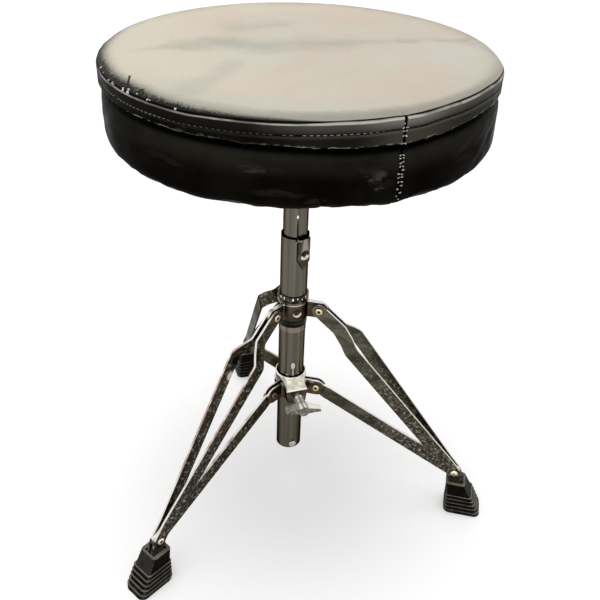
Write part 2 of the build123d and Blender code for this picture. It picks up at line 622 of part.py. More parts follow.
def cushion_profile():
    """The cushion's outer half section in (r, z): rounded foot, straight side, shallow dome."""
    side_low = SEAT_BOTTOM_Z + SEAT_ROUND_R
    flat_r = SEAT_R - SEAT_ROUND_R
    lean = SEAT_ROUND_R * (1 - sin(pi / 4))
    dome_r = (SEAT_R ** 2 + SEAT_DOME ** 2) / (2 * SEAT_DOME)
    half_rise = dome_r * cos(asin(SEAT_R / 2 / dome_r)) - dome_r + SEAT_DOME
    top_z = SEAT_SEAM_Z + SEAT_DOME
    foot = ThreePointArc((flat_r, SEAT_BOTTOM_Z), (SEAT_R - lean, SEAT_BOTTOM_Z + lean), (SEAT_R, side_low))
    dome = ThreePointArc((SEAT_R, SEAT_SEAM_Z), (SEAT_R / 2, SEAT_SEAM_Z + half_rise), (0, top_z))
    side = Line((SEAT_R, side_low), (SEAT_R, SEAT_SEAM_Z))
    inside = Polyline((0, top_z), (0, SEAT_BOTTOM_Z), (flat_r, SEAT_BOTTOM_Z))
    return make_face(Curve() + [foot, side, dome, inside])


def seat_cushion():
    """Foam and vinyl as one closed solid, wrapped round the board and hemmed under it."""
    body = revolve(Plane.XZ * cushion_profile(), Axis.Z)
    board_high = BOARD_Z + BOARD_THICKNESS + SOFT_GAP
    body -= disc(BOARD_R + SOFT_GAP, BOARD_Z - SOFT_GAP, board_high)
    return body - disc(BOARD_R - HEM_WIDTH, SEAT_BOTTOM_Z - 1, BOARD_Z)


def seat_board():
    return disc(BOARD_R, BOARD_Z, BOARD_Z + BOARD_THICKNESS)


def staples():
    """A ring of staples under the turned-in hem."""
    r = BOARD_R - STAPLE_INSET
    z = SEAT_BOTTOM_Z - STAPLE_RISE / 2
    staple = Pos(r, 0, z) * Box(STAPLE_WIDTH, STAPLE_LENGTH, STAPLE_RISE)
    return Compound(children=[turned(360 / STAPLES * i, staple) for i in range(STAPLES)])


def screw_spots():
    half = PLATE_SCREW_SPACING / 2
    return [(x * half, y * half) for x in (-1, 1) for y in (-1, 1)]


def seat_plate():
    outline = RectangleRounded(PLATE_SIZE, PLATE_SIZE, PLATE_CORNER_R)
    for x, y in screw_spots():
        outline -= Pos(x, y) * Circle(PLATE_SCREW_R)
    return extrude(Pos(0, 0, PLATE_Z) * outline, PLATE_SHEET)


def plate_screws():
    """Pan-head screws up through the plate into the board."""
    screws = []
    for x, y in screw_spots():
        head = Pos(x, y, PLATE_Z - PLATE_SCREW_HEAD / 2) * Cylinder(PLATE_SCREW_HEAD_R, PLATE_SCREW_HEAD)
        rim = head.edges().filter_by(GeomType.CIRCLE).sort_by(Axis.Z)[0]
        stem = Pos(x, y, PLATE_Z + PLATE_SHEET / 2) * Cylinder(PLATE_SCREW_R, PLATE_SHEET)
        screws.append(fillet(rim, PLATE_SCREW_ROUND_R) + stem)
    return Compound(children=screws)


def seat_socket():
    """A tube welded under the plate, with a threaded boss for the retaining screw."""
    outer = POST_R + POST_PLAY + SOCKET_TUBE_WALL
    low = PLATE_Z - SOCKET_TUBE_LENGTH
    body = ring(POST_R + POST_PLAY, outer, low, PLATE_Z)
    boss = rod_x(BOSS_R, RETAINER_Z, outer - SOCKET_TUBE_WALL / 2, outer + BOSS_REACH)
    body += boss - Pos(0, 0, RETAINER_Z) * Cylinder(POST_R + POST_PLAY, SOCKET_TUBE_LENGTH)
    return body - rod_x(RETAINER_R, RETAINER_Z, 0, outer + BOSS_REACH + 1)


def seat_retaining_screw():
    """A hexagon screw whose tip runs in the post's groove: the seat turns but can't lift off."""
    outer = POST_R + POST_PLAY + SOCKET_TUBE_WALL + BOSS_REACH
    stud = rod_x(RETAINER_R, RETAINER_Z, POST_R - GROOVE_DEPTH + RETAINER_GAP, outer)
    across = RETAINER_HEAD_WIDTH / 2 / cos(pi / 6)
    face = Plane(origin=(outer, 0, RETAINER_Z), x_dir=(0, 1, 0), z_dir=(1, 0, 0))
    return stud + extrude(face * RegularPolygon(across, 6), RETAINER_HEAD_HEIGHT)


# ---------------------------------------------------------------- write the pieces
write("outer_tube", outer_tube())
write("clamp_nut", clamp_nut())
write("tube_stop_screw", stop_screw())
write("tube_stop_nut", stop_nut())
write("locking_ring", locking_ring())
write("nylon_ring", nylon_ring())
write("collar_sleeve", collar_sleeve())
write("collar_nut", collar_nut())
write("wing_bolt", wing_bolt())
write("seat_post", seat_post())
write("post_top_plug", post_plug(POST_TOP_Z, POST_TOP_Z - PLUG_LENGTH))
write("post_foot_plug", post_plug(POST_FOOT_Z, POST_FOOT_Z + PLUG_LENGTH))
write("seat_cushion", seat_cushion())
write("seat_board", seat_board())
write("hem_staples", staples())
write("seat_plate", seat_plate())
write("plate_screws", plate_screws())
write("seat_socket", seat_socket())
write("seat_retaining_screw", seat_retaining_screw())

collar_rivets = []
for leg, name in enumerate(LEG_NAMES):
    azimuth = azimuth_of(leg)
    between = azimuth + LEG_STEP / 2
    side_name = SECTOR_NAMES[leg]
    jaw = collar_front() if side_name == "front" else collar_sector()
    write(f"bracket_{side_name}", turned(between, bracket_sector()))
    write(f"collar_{side_name}", turned(between, jaw))
    write(f"leg_{name}_strip_a", turned(azimuth, leg_strip(1)))
    write(f"leg_{name}_strip_b", turned(azimuth, leg_strip(-1)))
    write(f"leg_{name}_pivot_rivet", turned(azimuth, leg_rivet()))
    write(f"leg_{name}_foot_rivet", turned(azimuth, foot_rivet()))
    write(f"brace_{name}", turned(azimuth, brace()))
    write(f"foot_{name}", turned(azimuth, rubber_foot()))
    collar_rivets += [turned(azimuth, half) for half in collar_half_rivets()]
write("collar_rivets", Compound(children=collar_rivets))
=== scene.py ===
import fnmatch
from math import cos, pi, radians, sin

import bpy
import numpy as np
from mathutils import Matrix, Vector


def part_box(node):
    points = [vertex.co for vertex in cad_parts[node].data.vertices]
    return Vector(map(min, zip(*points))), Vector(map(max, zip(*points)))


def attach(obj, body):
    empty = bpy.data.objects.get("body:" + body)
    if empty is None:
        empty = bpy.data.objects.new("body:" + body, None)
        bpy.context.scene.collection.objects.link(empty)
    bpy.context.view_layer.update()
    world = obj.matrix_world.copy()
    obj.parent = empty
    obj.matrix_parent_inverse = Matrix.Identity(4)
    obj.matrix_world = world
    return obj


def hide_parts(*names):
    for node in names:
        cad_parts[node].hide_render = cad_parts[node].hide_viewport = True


# A worn drum throne on a folding chromed stand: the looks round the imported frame, in metres.
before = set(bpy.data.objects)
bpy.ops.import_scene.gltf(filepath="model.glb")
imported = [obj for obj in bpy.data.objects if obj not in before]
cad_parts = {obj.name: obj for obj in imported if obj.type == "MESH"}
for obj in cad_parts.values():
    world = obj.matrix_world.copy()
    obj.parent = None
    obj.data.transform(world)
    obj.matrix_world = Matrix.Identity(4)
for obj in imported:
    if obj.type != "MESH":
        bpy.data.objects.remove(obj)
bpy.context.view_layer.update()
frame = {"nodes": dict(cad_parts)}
nodes = frame["nodes"]
MM = 0.001

# The rivets' distance from the column's axis and their height
LEG_PIVOT = (25.8 * MM, 225.0 * MM)
COLLAR_PIVOT = (26.8 * MM, 131.9 * MM)
FOOT_PIVOT = (176.5 * MM, 48.8 * MM)
TUBE_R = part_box("outer_tube")[1].x
TUBE_TOP_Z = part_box("outer_tube")[1].z
POST_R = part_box("seat_post")[1].x
FLANGE_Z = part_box("collar_sleeve")[1].z
BRACKET_TOP_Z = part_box("bracket_front")[1].z
BRACKET_FRONT_R = 14.3 * MM
COLLAR_RIM_Z = COLLAR_PIVOT[1] + 8.7 * MM
HOOD_Z = COLLAR_PIVOT[1] + 5.6 * MM
HOLE_Z = 287.3 * MM
WING_RING_Y = -26.3 * MM

# the painted reflection of a bright sky, laid where metal faces up
PAINTED_SKY_SHEEN = (0.86, 0.84, 0.79)
# the white of painted glints and highlights
PAINTED_GLINT = (0.96, 0.94, 0.90)
EDGE_TINT = (0.22, 0.19, 0.15)
# brass, and the painted highlight where a brass rivet is lit from above
BRASS, LIT_BRASS = (0.78, 0.58, 0.28), (0.95, 0.88, 0.66)

# Glints on the tube's rim: azimuth, drop below the rim, half width and half height in mm, colour
RIM_GLINTS = (
    (-96.5, 0.8, 0.7, 1.3, (0.80, 0.78, 0.80)),
    (-100.0, 3.4, 0.7, 0.8, (0.55, 0.30, 0.28)),
    (164.0, 1.5, 2.6, 0.8, PAINTED_GLINT),
    (-30.0, 1.3, 1.8, 1.0, PAINTED_GLINT),
    (-88.5, 0.5, 0.8, 0.9, PAINTED_GLINT),
)


# ---------------------------------------------------------------- material graphs
class Field:
    """A value that varies over a surface: a node's output that takes part in arithmetic."""

    def __init__(self, graph, socket):
        self.graph = graph
        self.socket = socket

    def math(self, operation, *others):
        inputs = dict(enumerate((self, *others)))
        return self.graph.node("ShaderNodeMath", 0, inputs, operation=operation)

    def __rsub__(self, other):
        return self * -1.0 + other

    def ramp(self, low, high, start=0.0, end=1.0):
        """A smooth step from start to end as this value goes from low to high."""
        inputs = dict(enumerate((self, low, high, start, end)))
        return self.graph.node("ShaderNodeMapRange", 0, inputs, interpolation_type="SMOOTHSTEP")

    def between(self, low, full, full_end, high):
        """1 from full to full_end, fading to 0 at low and at high."""
        return self.ramp(low, full) * self.ramp(high, full_end)

    def lookup(self, table):
        """Smooth steps through a short table of (azimuth in degrees, millimetres)."""
        total = table[0][1] * MM
        for (a, first), (b, second) in zip(table, table[1:]):
            if first != second:
                total = self.ramp(radians(a), radians(b), 0.0, (second - first) * MM) + total
        return total


def arithmetic(operation):
    """A method of Field that adds a math node."""
    return lambda value, *others: value.math(operation, *others)


for word, operation in {
        "__add__": "ADD", "__radd__": "ADD", "__sub__": "SUBTRACT",
        "__mul__": "MULTIPLY", "__rmul__": "MULTIPLY", "__truediv__": "DIVIDE",
        "__abs__": "ABSOLUTE", "larger": "MAXIMUM", "smaller": "MINIMUM",
        "cos": "COSINE", "sin": "SINE"}.items():
    setattr(Field, word, arithmetic(operation))


def length(a, b):
    """The length of a flat vector."""
    return (a * a + b * b).math("SQRT")


class Tree:
    """A node tree that nodes are added to, each with its inputs and settings in one call."""

    def __init__(self, tree):
        self.tree = tree

    def node(self, kind, output, inputs=(), **settings):
        """A new node's output, with its inputs given by name or number and its settings by name."""
        made = self.tree.nodes.new(kind)
        for key, value in settings.items():
            setattr(made, key, value)
        for key, value in dict(inputs).items():
            self.join(made.inputs[key], value)
        return Field(self, made.outputs[output])

    def join(self, socket, value):
        """Put a number, a colour or another node's output on an input."""
        if isinstance(value, Field):
            self.tree.links.new(value.socket, socket)
        elif socket.type == "RGBA" and len(value) == 3:
            socket.default_value = (*value, 1.0)
        else:
            socket.default_value = value


class Graph(Tree):
    """A material's node tree, with short calls for what the materials below share.
    """

    def __init__(self, name):
        self.material = bpy.data.materials.new(name)
        self.material.use_nodes = True
        super().__init__(self.material.node_tree)
        self.shader = next(n for n in self.tree.nodes if n.type == "BSDF_PRINCIPLED")
        self.place = self.node("ShaderNodeTexCoord", "Object")
        self.x, self.y, self.z = self.split(self.place)
        self.tone = None

    def set(self, **values):
        """Set the shader's inputs by name, with underscores for spaces."""
        for key, value in values.items():
            self.join(self.shader.inputs[key.replace("_", " ")], value)

    def finish(self, **values):
        self.set(Base_Color=self.tone, **values)
        return self.material

    def mix(self, share, a, b):
        return self.node("ShaderNodeMix", 2, {0: share, 6: a, 7: b}, data_type="RGBA")

    def lay(self, colour, share):
        """Paint a colour over the tone so far, as thickly as share says."""
        self.tone = self.mix(share, self.tone, colour)

    def split(self, vector):
        """The x, y and z of a vector."""
        x = self.node("ShaderNodeSeparateXYZ", 0, {0: vector})
        return [Field(self, output) for output in x.socket.node.outputs]

    def stretch(self, x, y, z, vector=None):
        return self.node("ShaderNodeMapping", 0, {0: vector or self.place, 3: (x, y, z)})

    def noise(self, scale, detail=4.0, rough=0.55, vector=None, bend=0.0):
        shape = {"Scale": scale, "Detail": detail, "Roughness": rough, "Distortion": bend}
        return self.node("ShaderNodeTexNoise", "Fac", {0: vector or self.place, **shape})

    def cells(self, scale, feature="F1"):
        return self.node("ShaderNodeTexVoronoi", "Distance", {0: self.place, "Scale": scale}, feature=feature)

    def azimuth(self):
        """The angle round the column's axis, in radians."""
        return self.y.math("ARCTAN2", self.x)

    def reach(self):
        """The distance from the column's axis."""
        return length(self.x, self.y)

    def normal(self):
        """The surface's own normal, in the piece's own frame."""
        return self.split(self.node("ShaderNodeTexCoord", "Normal"))

    def facing_up(self):
        return self.normal()[2]

    def leg_sector(self):
        """The point as seen from the nearest leg: its angle off that leg, and the leg's own azimuth."""
        azimuth = self.azimuth()
        off = (azimuth + pi / 6).math("WRAP", pi / 3, -pi / 3)
        return off, azimuth - off

    def along_tube(self, share):
        """A place that runs round the column and a share as fast along it, for streaks down the tube."""
        round_it = self.node("ShaderNodeCombineXYZ", 0, {0: self.azimuth() / pi, 2: self.z})
        return self.stretch(1.0, 1.0, share, vector=round_it)

    def spot(self, azimuth, z, half_wide, half_tall, radius):
        """1 in a soft-edged oval on a tube of this radius. Its half sizes are in millimetres."""
        across = (self.azimuth() - radians(azimuth)) * (radius / (half_wide * MM))
        up = (self.z - z) / (half_tall * MM)
        return length(across, up).ramp(1.15, 0.75)

    def near(self, spot, radius):
        """1 close to a spot, fading to 0 at a radius, both in millimetres."""
        inputs = {0: self.place, 1: [v * MM for v in spot]}
        away = self.node("ShaderNodeVectorMath", "Value", inputs, operation="DISTANCE")
        return away.ramp(radius * MM, radius * 0.55 * MM)

    def bump(self, height, depth, strength, under=None):
        """The relief of a height field, its depth in millimetres, over another relief if one is given."""
        inputs = {"Height": height, "Distance": depth * MM, "Strength": strength}
        if under is not None:
            inputs["Normal"] = under
        return self.node("ShaderNodeBump", "Normal", inputs)

    def pitted(self, speckle, depth, strength, pits):
        """The relief of worn plate: its speckle, with small round pits in it."""
        grain = self.bump(speckle, depth, strength)
        return self.bump(self.cells(900.0).ramp(0.05, 0.35), 0.05, pits, under=grain)


# ---------------------------------------------------------------- metals
def plated(name, dark, pale, rough, patch_scale, pits, up_from, up_to, stain=(0.60, 0.53, 0.43)):
    """Old chrome plate, mottled with wear and pitted: painted dark where it stands upright, with a painted
    sky reflection where it faces up.
    """
    g = Graph(name)
    broad = g.noise(patch_scale * 0.4, 4.0, 0.6, bend=0.4)
    speckle = g.noise(patch_scale, 5.0, 0.72, bend=0.3)
    g.tone = g.mix((speckle * 0.7 + broad * 0.3).ramp(0.42, 0.62), dark, pale)
    # the painted sky reflection where the plate faces up, with patches of stain in it
    sheen = g.mix(broad.ramp(0.50, 0.68, 0.0, 0.6), PAINTED_SKY_SHEEN, stain)
    g.lay(sheen, g.facing_up().ramp(up_from, up_to))
    g.set(Metallic=1.0, Specular_Tint=EDGE_TINT, Roughness=broad.ramp(0.3, 0.7, rough, rough * 1.9))
    g.set(Normal=g.pitted(speckle, 0.12, pits * 0.6, pits))
    return g


def leg_chrome():
    """The leg strips and braces: smooth with cross streaks above, more pitted and rusty to the feet."""
    g = Graph("leg_chrome_worn")
    broad = g.noise(34.0, 4.0, 0.6, bend=0.4)
    streaks = g.noise(90.0, 4.0, 0.6, vector=g.stretch(0.25, 0.25, 1.0), bend=0.5)
    speckle = g.noise(350.0, 3.0, 0.7)
    low_down = g.reach().ramp(0.055, 0.135)
    shaded = g.x.ramp(-0.020, -0.050).larger(g.y.ramp(0.030, 0.050))
    toe = g.z.ramp(43.5 * MM, 39.5 * MM)
    g.tone = g.mix(streaks.ramp(0.38, 0.66), (0.046, 0.044, 0.032), (0.118, 0.112, 0.084))
    g.lay((0.030, 0.027, 0.020), broad.ramp(0.50, 0.70, 0.0, 0.55))
    g.lay((0.085, 0.066, 0.048), low_down * 0.45)
    # painted shade on the left leg and the back leg
    g.lay((0.014, 0.013, 0.010), shaded * 0.55)
    g.lay((0.008, 0.006, 0.005), speckle.ramp(0.50, 0.42) * (low_down * 0.75 + 0.12))
    g.lay((0.36, 0.34, 0.28), speckle.ramp(0.56, 0.63) * (low_down.larger(shaded * 0.7) * 0.85 + 0.06))
    g.lay((0.085, 0.068, 0.050), toe)
    # painted reflections at the left leg's bend: a dark flat over a bright one
    g.lay((0.010, 0.009, 0.008), g.near((-60.7, -17.4, 185.5), 7.0))
    g.lay((0.66, 0.64, 0.58), g.near((-68.3, -21.8, 172.7), 6.5))
    # a painted sky reflection on the edges that face up, tinted pink down the left leg
    pink_sheen_share = g.x.ramp(-0.040, -0.060) * g.noise(60.0, 3.0).ramp(0.42, 0.56, 0.25, 1.0)
    sheen = g.mix(pink_sheen_share * g.reach().ramp(0.150, 0.135), PAINTED_SKY_SHEEN, (0.52, 0.35, 0.32))
    g.lay(sheen, g.facing_up().ramp(0.46, 0.60))
    dull = (low_down * 0.35).larger(toe * 0.75)
    return g.finish(Metallic=1.0 - dull, Roughness=broad.ramp(0.3, 0.7, 0.22, 0.40),
                    Specular_Tint=(0.32, 0.30, 0.25), Normal=g.pitted(speckle, 0.10, 0.35, 0.4))


def bright_tube(name):
    """The tubes' bright plate: long faint streaks and paler lines down it, a painted reflection of a room all
    round, and soft smears.
    """
    g = Graph(name)
    streaks = g.noise(9.0, 4.0, 0.6, vector=g.along_tube(0.35))
    lines = g.noise(38.0, 2.0, 0.4, vector=g.along_tube(0.05))
    smears = g.noise(26.0, 5.0, 0.6)
    # a painted reflection of a room: dark and pale streaks, and paler lines, down the tube
    g.tone = g.mix(streaks.ramp(0.36, 0.66), (0.088, 0.081, 0.064), (0.136, 0.128, 0.104))
    g.lay((0.112, 0.092, 0.066), smears.ramp(0.45, 0.8, 0.0, 0.40))
    g.lay((0.36, 0.33, 0.27), lines.ramp(0.66, 0.74) * 0.30)
    g.set(Metallic=1.0, Roughness=smears.ramp(0.3, 0.75, 0.14, 0.3), Specular_Tint=EDGE_TINT)
    g.set(Normal=g.bump(g.noise(220.0, 3.0), 0.04, 0.35))
    return g


def tube_chrome():
    """The outer tube, with painted reflections of the collar and the ring on it, painted shade at its rim by
    the post and below the collar, painted glints, and the clamp pocket's painted light and shade.
    """
    g = bright_tube("tube_chrome_worn")
    # a painted reflection of the nylon ring: a lighter band just below it
    worn = ((g.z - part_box("nylon_ring")[0].z) / MM).between(-7.0, -5.5, -1.0, 0.0)
    g.lay((0.215, 0.180, 0.155), worn * 0.8)
    # painted reflections just above the collar: bright scallops of its flange, and one long drop with its
    # stem from the wing bolt
    above = (g.z - FLANGE_Z) / MM
    teeth = ((g.azimuth() + radians(98)) * 13.0).cos()
    flange_reflection = (teeth * -1.1 + above - 0.9).ramp(-0.3, 0.5, 0.9, 0.0) * above.ramp(-1.0, 0.0)
    drop = g.spot(-98.6, FLANGE_Z + 12.5 * MM, 2.0, 4.2, TUBE_R)
    wing_stem_reflection = g.spot(-98.0, FLANGE_Z + 4.0 * MM, 0.8, 6.0, TUBE_R)
    g.lay((0.66, 0.65, 0.58), flange_reflection.larger(drop.larger(wing_stem_reflection)) * 0.9)
    # painted shade: a dark line inside the rim, and a dark knot where the clamp's slot meets it
    swell = g.reach().ramp(TUBE_R + 0.4 * MM, TUBE_R + 0.9 * MM)
    rim = ((g.z - TUBE_TOP_Z) / MM).ramp(-1.3, -0.5) * (1.0 - swell)
    knot_shade = g.spot(-99.0, TUBE_TOP_Z - 1.4 * MM, 1.9, 3.2, TUBE_R)
    g.lay((0.006, 0.005, 0.005), rim.larger(knot_shade))
    for azimuth, below, wide, tall, colour in RIM_GLINTS:
        g.lay(colour, g.spot(azimuth, TUBE_TOP_Z - below * MM, wide, tall, TUBE_R))
    pocket_light_and_shade(g, swell)
    # below the collar the right of the tube stands in shade, with fine streaks running down it
    shade = above.ramp(0.0, -9.0) * g.x.ramp(-0.001, 0.010, 0.25, 1.0)
    fine = g.noise(60.0, 3.0, 0.6, vector=g.along_tube(0.12))
    g.lay((0.040, 0.036, 0.028), shade * fine.ramp(0.40, 0.60, 0.35, 0.85))
    return g.finish()


def pocket_light_and_shade(g, swell):
    """The clamp pocket's painted light and shade: a painted pale highlight on the ridge over the hole,
    painted shade on the flanks, darker below, and a lip with painted shade above and a painted lit lower
    half.
    """
    across = g.reach() * (g.azimuth() + radians(72)).sin() / MM
    up = (g.z - HOLE_Z) / MM
    past_ridge = abs(across) - (up * -0.14 + 4.2)
    ridge = past_ridge.ramp(0.1, -0.9) * up.ramp(1.5, 4.0)
    g.lay((0.26, 0.265, 0.215), ridge * swell * 0.85)
    g.lay((0.030, 0.030, 0.022), past_ridge.ramp(0.2, 1.4) * up.ramp(-2.0, 2.0) * swell * 0.7)
    g.lay((0.046, 0.045, 0.034), up.ramp(-3.0, -5.0) * swell * 0.75)
    lip = length(across, up).between(3.4, 3.7, 4.4, 4.9)
    # painted shade on the lip's upper half, a painted highlight on its lower half
    g.lay((0.020, 0.012, 0.010), lip * up.ramp(0.0, 1.6))
    g.lay((0.85, 0.80, 0.72), lip * up.ramp(-0.6, -2.2))


def nut_steel():
    """The clamp's nut, deep in its pocket: rusty shade above and a lit lower rim."""
    g = Graph("clamp_nut_steel")
    fine = g.noise(400.0, 4.0, 0.6)
    worn = fine.ramp(0.35, 0.65)
    g.tone = g.mix(worn, (0.045, 0.018, 0.014), (0.16, 0.09, 0.065))
    lit = g.mix(worn, (0.55, 0.48, 0.40), (0.95, 0.90, 0.80))
    g.lay(lit, ((g.z - HOLE_Z) / MM).ramp(0.2, -1.8))
    return g.finish(Metallic=1.0, Roughness=0.35, Normal=g.bump(fine, 0.08, 0.4))


def post_chrome():
    """The seat post and its socket: the same plate, with a painted reflection of the clamp pocket as a thin
    dark line and a bright fleck, and a painted sky reflection where it faces up.
    """
    g = bright_tube("post_chrome_worn")
    # a painted reflection of the clamp pocket: a thin dark line with a bright fleck above it
    g.lay((0.016, 0.010, 0.009), g.spot(-98.4, TUBE_TOP_Z + 8.0 * MM, 0.75, 10.0, POST_R))
    g.lay((0.85, 0.83, 0.78), g.spot(-99.0, TUBE_TOP_Z + 20.5 * MM, 0.8, 1.6, POST_R))
    g.lay(PAINTED_SKY_SHEEN, g.facing_up().ramp(0.3, 0.8))
    return g.finish()


def fluted_chrome():
    """The locking ring: painted highlights in small beads of light on its flutes over a dark groove, and a
    painted sheen where it faces up.
    """
    g = Graph("fluted_chrome_worn")
    up = (g.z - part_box("locking_ring")[0].z) / MM
    beads = (g.azimuth() * 20.0).cos().ramp(0.40, 0.85) * g.noise(170.0, 3.0).ramp(0.38, 0.52)
    g.tone = g.mix(g.noise(160.0, 3.0).ramp(0.4, 0.6), (0.016, 0.014, 0.011), (0.085, 0.070, 0.055))
    g.lay((0.30, 0.25, 0.20), up.between(0.5, 1.0, 1.6, 2.2) * 0.5)
    # painted highlights: beads of light on the flutes
    g.lay(PAINTED_GLINT, beads * up.between(4.2, 5.2, 7.0, 7.9))
    # a painted sheen where the ring faces up
    g.lay((0.10, 0.085, 0.065), g.facing_up().ramp(0.75, 0.95, 0.0, 0.6))
    return g.finish(Metallic=1.0, Roughness=0.2, Normal=g.bump(g.noise(300.0, 3.0), 0.04, 0.3))


def rivet(name, pivot, ring, lit, dome=None, dome_side=1.0):
    """A cupped rivet head: a bright ring round a cup with painted shade in it, and a painted highlight where
    it is lit from above.

    dome is the tone of those heads that are plain domes, painted lighter above and darker below, on the +X
    side or, with -1, on the -X side.
    """
    g = Graph(name)
    wear = g.noise(420.0, 4.0, 0.6)
    out = (g.reach() * g.leg_sector()[0].cos() - pivot[0]) / MM
    up = (g.z - pivot[1]) / MM
    away = length(out, up)
    g.tone = g.mix(wear.ramp(0.35, 0.65), [c * 0.55 for c in ring], ring)
    # a painted highlight on the upper half, and painted shade in the cup
    g.lay(lit, up.ramp(0.6, 2.2, 0.0, 0.8))
    g.lay((0.040, 0.030, 0.018), away.ramp(1.9, 1.3))
    g.lay((0.06, 0.045, 0.025), away.ramp(3.2, 3.7, 0.0, 0.75))
    if dome:
        # a plain dome, painted lighter above and darker below
        plain = g.mix(up.ramp(-2.0, 2.0), [c * 0.3 for c in dome], dome)
        g.lay(plain, (g.x * dome_side).ramp(8 * MM, 10 * MM) * g.y.ramp(20 * MM, 10 * MM))
    return g.finish(Metallic=1.0, Roughness=wear.ramp(0.3, 0.7, 0.22, 0.40), Normal=g.bump(wear, 0.1, 0.4))


def sleeve_chrome():
    """The collar's sleeve: a painted highlight on its bright lip, and painted shade in the dark gap where it
    meets the tube.
    """
    g = plated("sleeve_chrome_worn", (0.12, 0.11, 0.09), (0.45, 0.43, 0.37), 0.2, 90.0, 0.3, 0.10, 0.45,
               stain=(0.80, 0.78, 0.72))
    # a painted highlight on the lip
    g.lay((0.95, 0.94, 0.90), ((g.z - FLANGE_Z) / MM).ramp(-2.4, -1.8))
    # painted shade in the gap between the sleeve and the tube
    inside = g.reach().ramp(TUBE_R + 1.5 * MM, TUBE_R + 1.0 * MM)
    g.lay((0.008, 0.007, 0.006), inside * g.facing_up().ramp(0.3, 0.7))
    return g.finish()


def pressed_chrome(name, rim_z):
    """The stamped sectors: warm brown where they stand upright, with a painted sky reflection where they face
    up and a painted highlight line on the top rim.
    """
    g = plated(name, (0.038, 0.028, 0.018), (0.105, 0.080, 0.054), 0.2, 60.0, 0.3, 0.22, 0.55)
    # a painted highlight along the top rim
    g.lay(PAINTED_SKY_SHEEN, ((g.z - rim_z) / MM).between(-1.1, -0.6, 0.5, 1.5) * 0.9)
    return g


def bracket_front():
    """The column bracket's front: its dimple is shaded, with a lit crescent at the bottom."""
    g = pressed_chrome("bracket_front_worn", BRACKET_TOP_Z)
    dimple_z = LEG_PIVOT[1]
    hollow = g.spot(-90.0, dimple_z, 4.4, 4.4, BRACKET_FRONT_R)
    inner = g.spot(-91.5, dimple_z + 0.7 * MM, 3.7, 3.9, BRACKET_FRONT_R)
    g.lay((0.026, 0.020, 0.014), inner * 0.35)
    g.lay((0.80, 0.74, 0.60), hollow * (1.0 - inner) * ((g.z - dimple_z) / MM).ramp(1.0, -1.5))
    return g.finish()


def collar_front():
    """The collar's front: the hood over the clamp is pale and stained, a painted sky reflection, with a
    painted highlight on its bright lip.
    """
    g = pressed_chrome("collar_front_worn", COLLAR_RIM_Z)
    up = (g.z - HOOD_Z) / MM
    patches = g.noise(120.0, 3.0, 0.55, bend=0.6)
    # the hood's painted sky reflection, stained in patches
    pale = g.mix(patches.ramp(0.46, 0.60), (0.80, 0.79, 0.71), (0.60, 0.52, 0.40))
    pale = g.mix(patches.ramp(0.40, 0.34, 0.0, 0.7), pale, (0.50, 0.50, 0.44))
    # a painted highlight on the hood's lip
    pale = g.mix(up.ramp(1.5, 0.5), pale, (0.97, 0.96, 0.90))
    pale = g.mix(g.x.ramp(-7.5 * MM, -10.5 * MM, 0.0, 0.55), pale, (0.28, 0.26, 0.21))
    g.lay(pale, up.ramp(-0.2, 0.3) * g.reach().ramp(25.0 * MM, 24.0 * MM) * g.facing_up().ramp(-0.1, 0.15))
    return g.finish()


def wing_cast():
    """The cast wing bolt: pale and mottled on top in a painted sky reflection, with painted shade below, and
    a brassy ring on its neck.
    """
    g = plated("wing_bolt_cast", (0.022, 0.020, 0.016), (0.26, 0.25, 0.22), 0.22, 260.0, 0.7, -0.06, 0.26,
               stain=(0.62, 0.61, 0.57))
    g.lay((0.26, 0.25, 0.22), g.noise(95.0, 2.0, 0.5, bend=0.4).ramp(0.52, 0.62, 0.0, 0.55))
    g.lay((0.52, 0.36, 0.12), abs((g.y - WING_RING_Y) / MM).ramp(1.3, 0.7))
    return g.finish()


def plain_steel():
    """Zinc-plated screws, nuts and staples: fine grain under a dull spangle."""
    g = Graph("zinc_steel")
    grain = g.noise(350.0, 4.0, 0.65)
    spangle = g.noise(60.0, 3.0, 0.5)
    g.tone = g.mix(grain.ramp(0.3, 0.7), (0.36, 0.35, 0.32), (0.62, 0.60, 0.56))
    g.lay((0.30, 0.24, 0.17), spangle.ramp(0.5, 0.8, 0.0, 0.5))
    return g.finish(Metallic=1.0, Roughness=spangle.ramp(0.3, 0.7, 0.28, 0.48),
                    Normal=g.bump(grain, 0.08, 0.4))


# ---------------------------------------------------------------- paint, rubber, nylon and wood
def black_paint():
    """The seat plate's black paint, with a few chips down to the steel."""
    g = Graph("plate_black_paint")
    peel = g.noise(240.0, 3.0, 0.5)
    chips = g.noise(45.0, 6.0, 0.75).ramp(0.70, 0.73)
    g.tone = g.mix(chips, (0.018, 0.018, 0.018), (0.20, 0.17, 0.14))
    return g.finish(Metallic=chips * 0.8, Roughness=peel.ramp(0.3, 0.7, 0.32, 0.5),
                    Normal=g.bump(peel, 0.12, 0.4))


def black_nylon():
    """Black nylon, with a painted highlight line round the middle of the ring."""
    g = Graph("ring_black_nylon")
    fine = g.noise(500.0, 3.0, 0.6)
    low, high = (corner.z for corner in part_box("nylon_ring"))
    off = abs(g.z - (low * 0.45 + high * 0.55)) / MM
    # a painted highlight line round the middle of the ring
    dust = off.ramp(0.2, 0.7, 0.8, 0.0) * g.noise(60.0, 4.0).ramp(0.4, 0.55)
    g.tone = g.mix(dust, (0.0040, 0.0034, 0.0028), (0.10, 0.09, 0.08))
    return g.finish(Roughness=fine.ramp(0.3, 0.7, 0.35, 0.55), Specular_IOR_Level=0.08,
                    Normal=g.bump(fine, 0.05, 0.3))


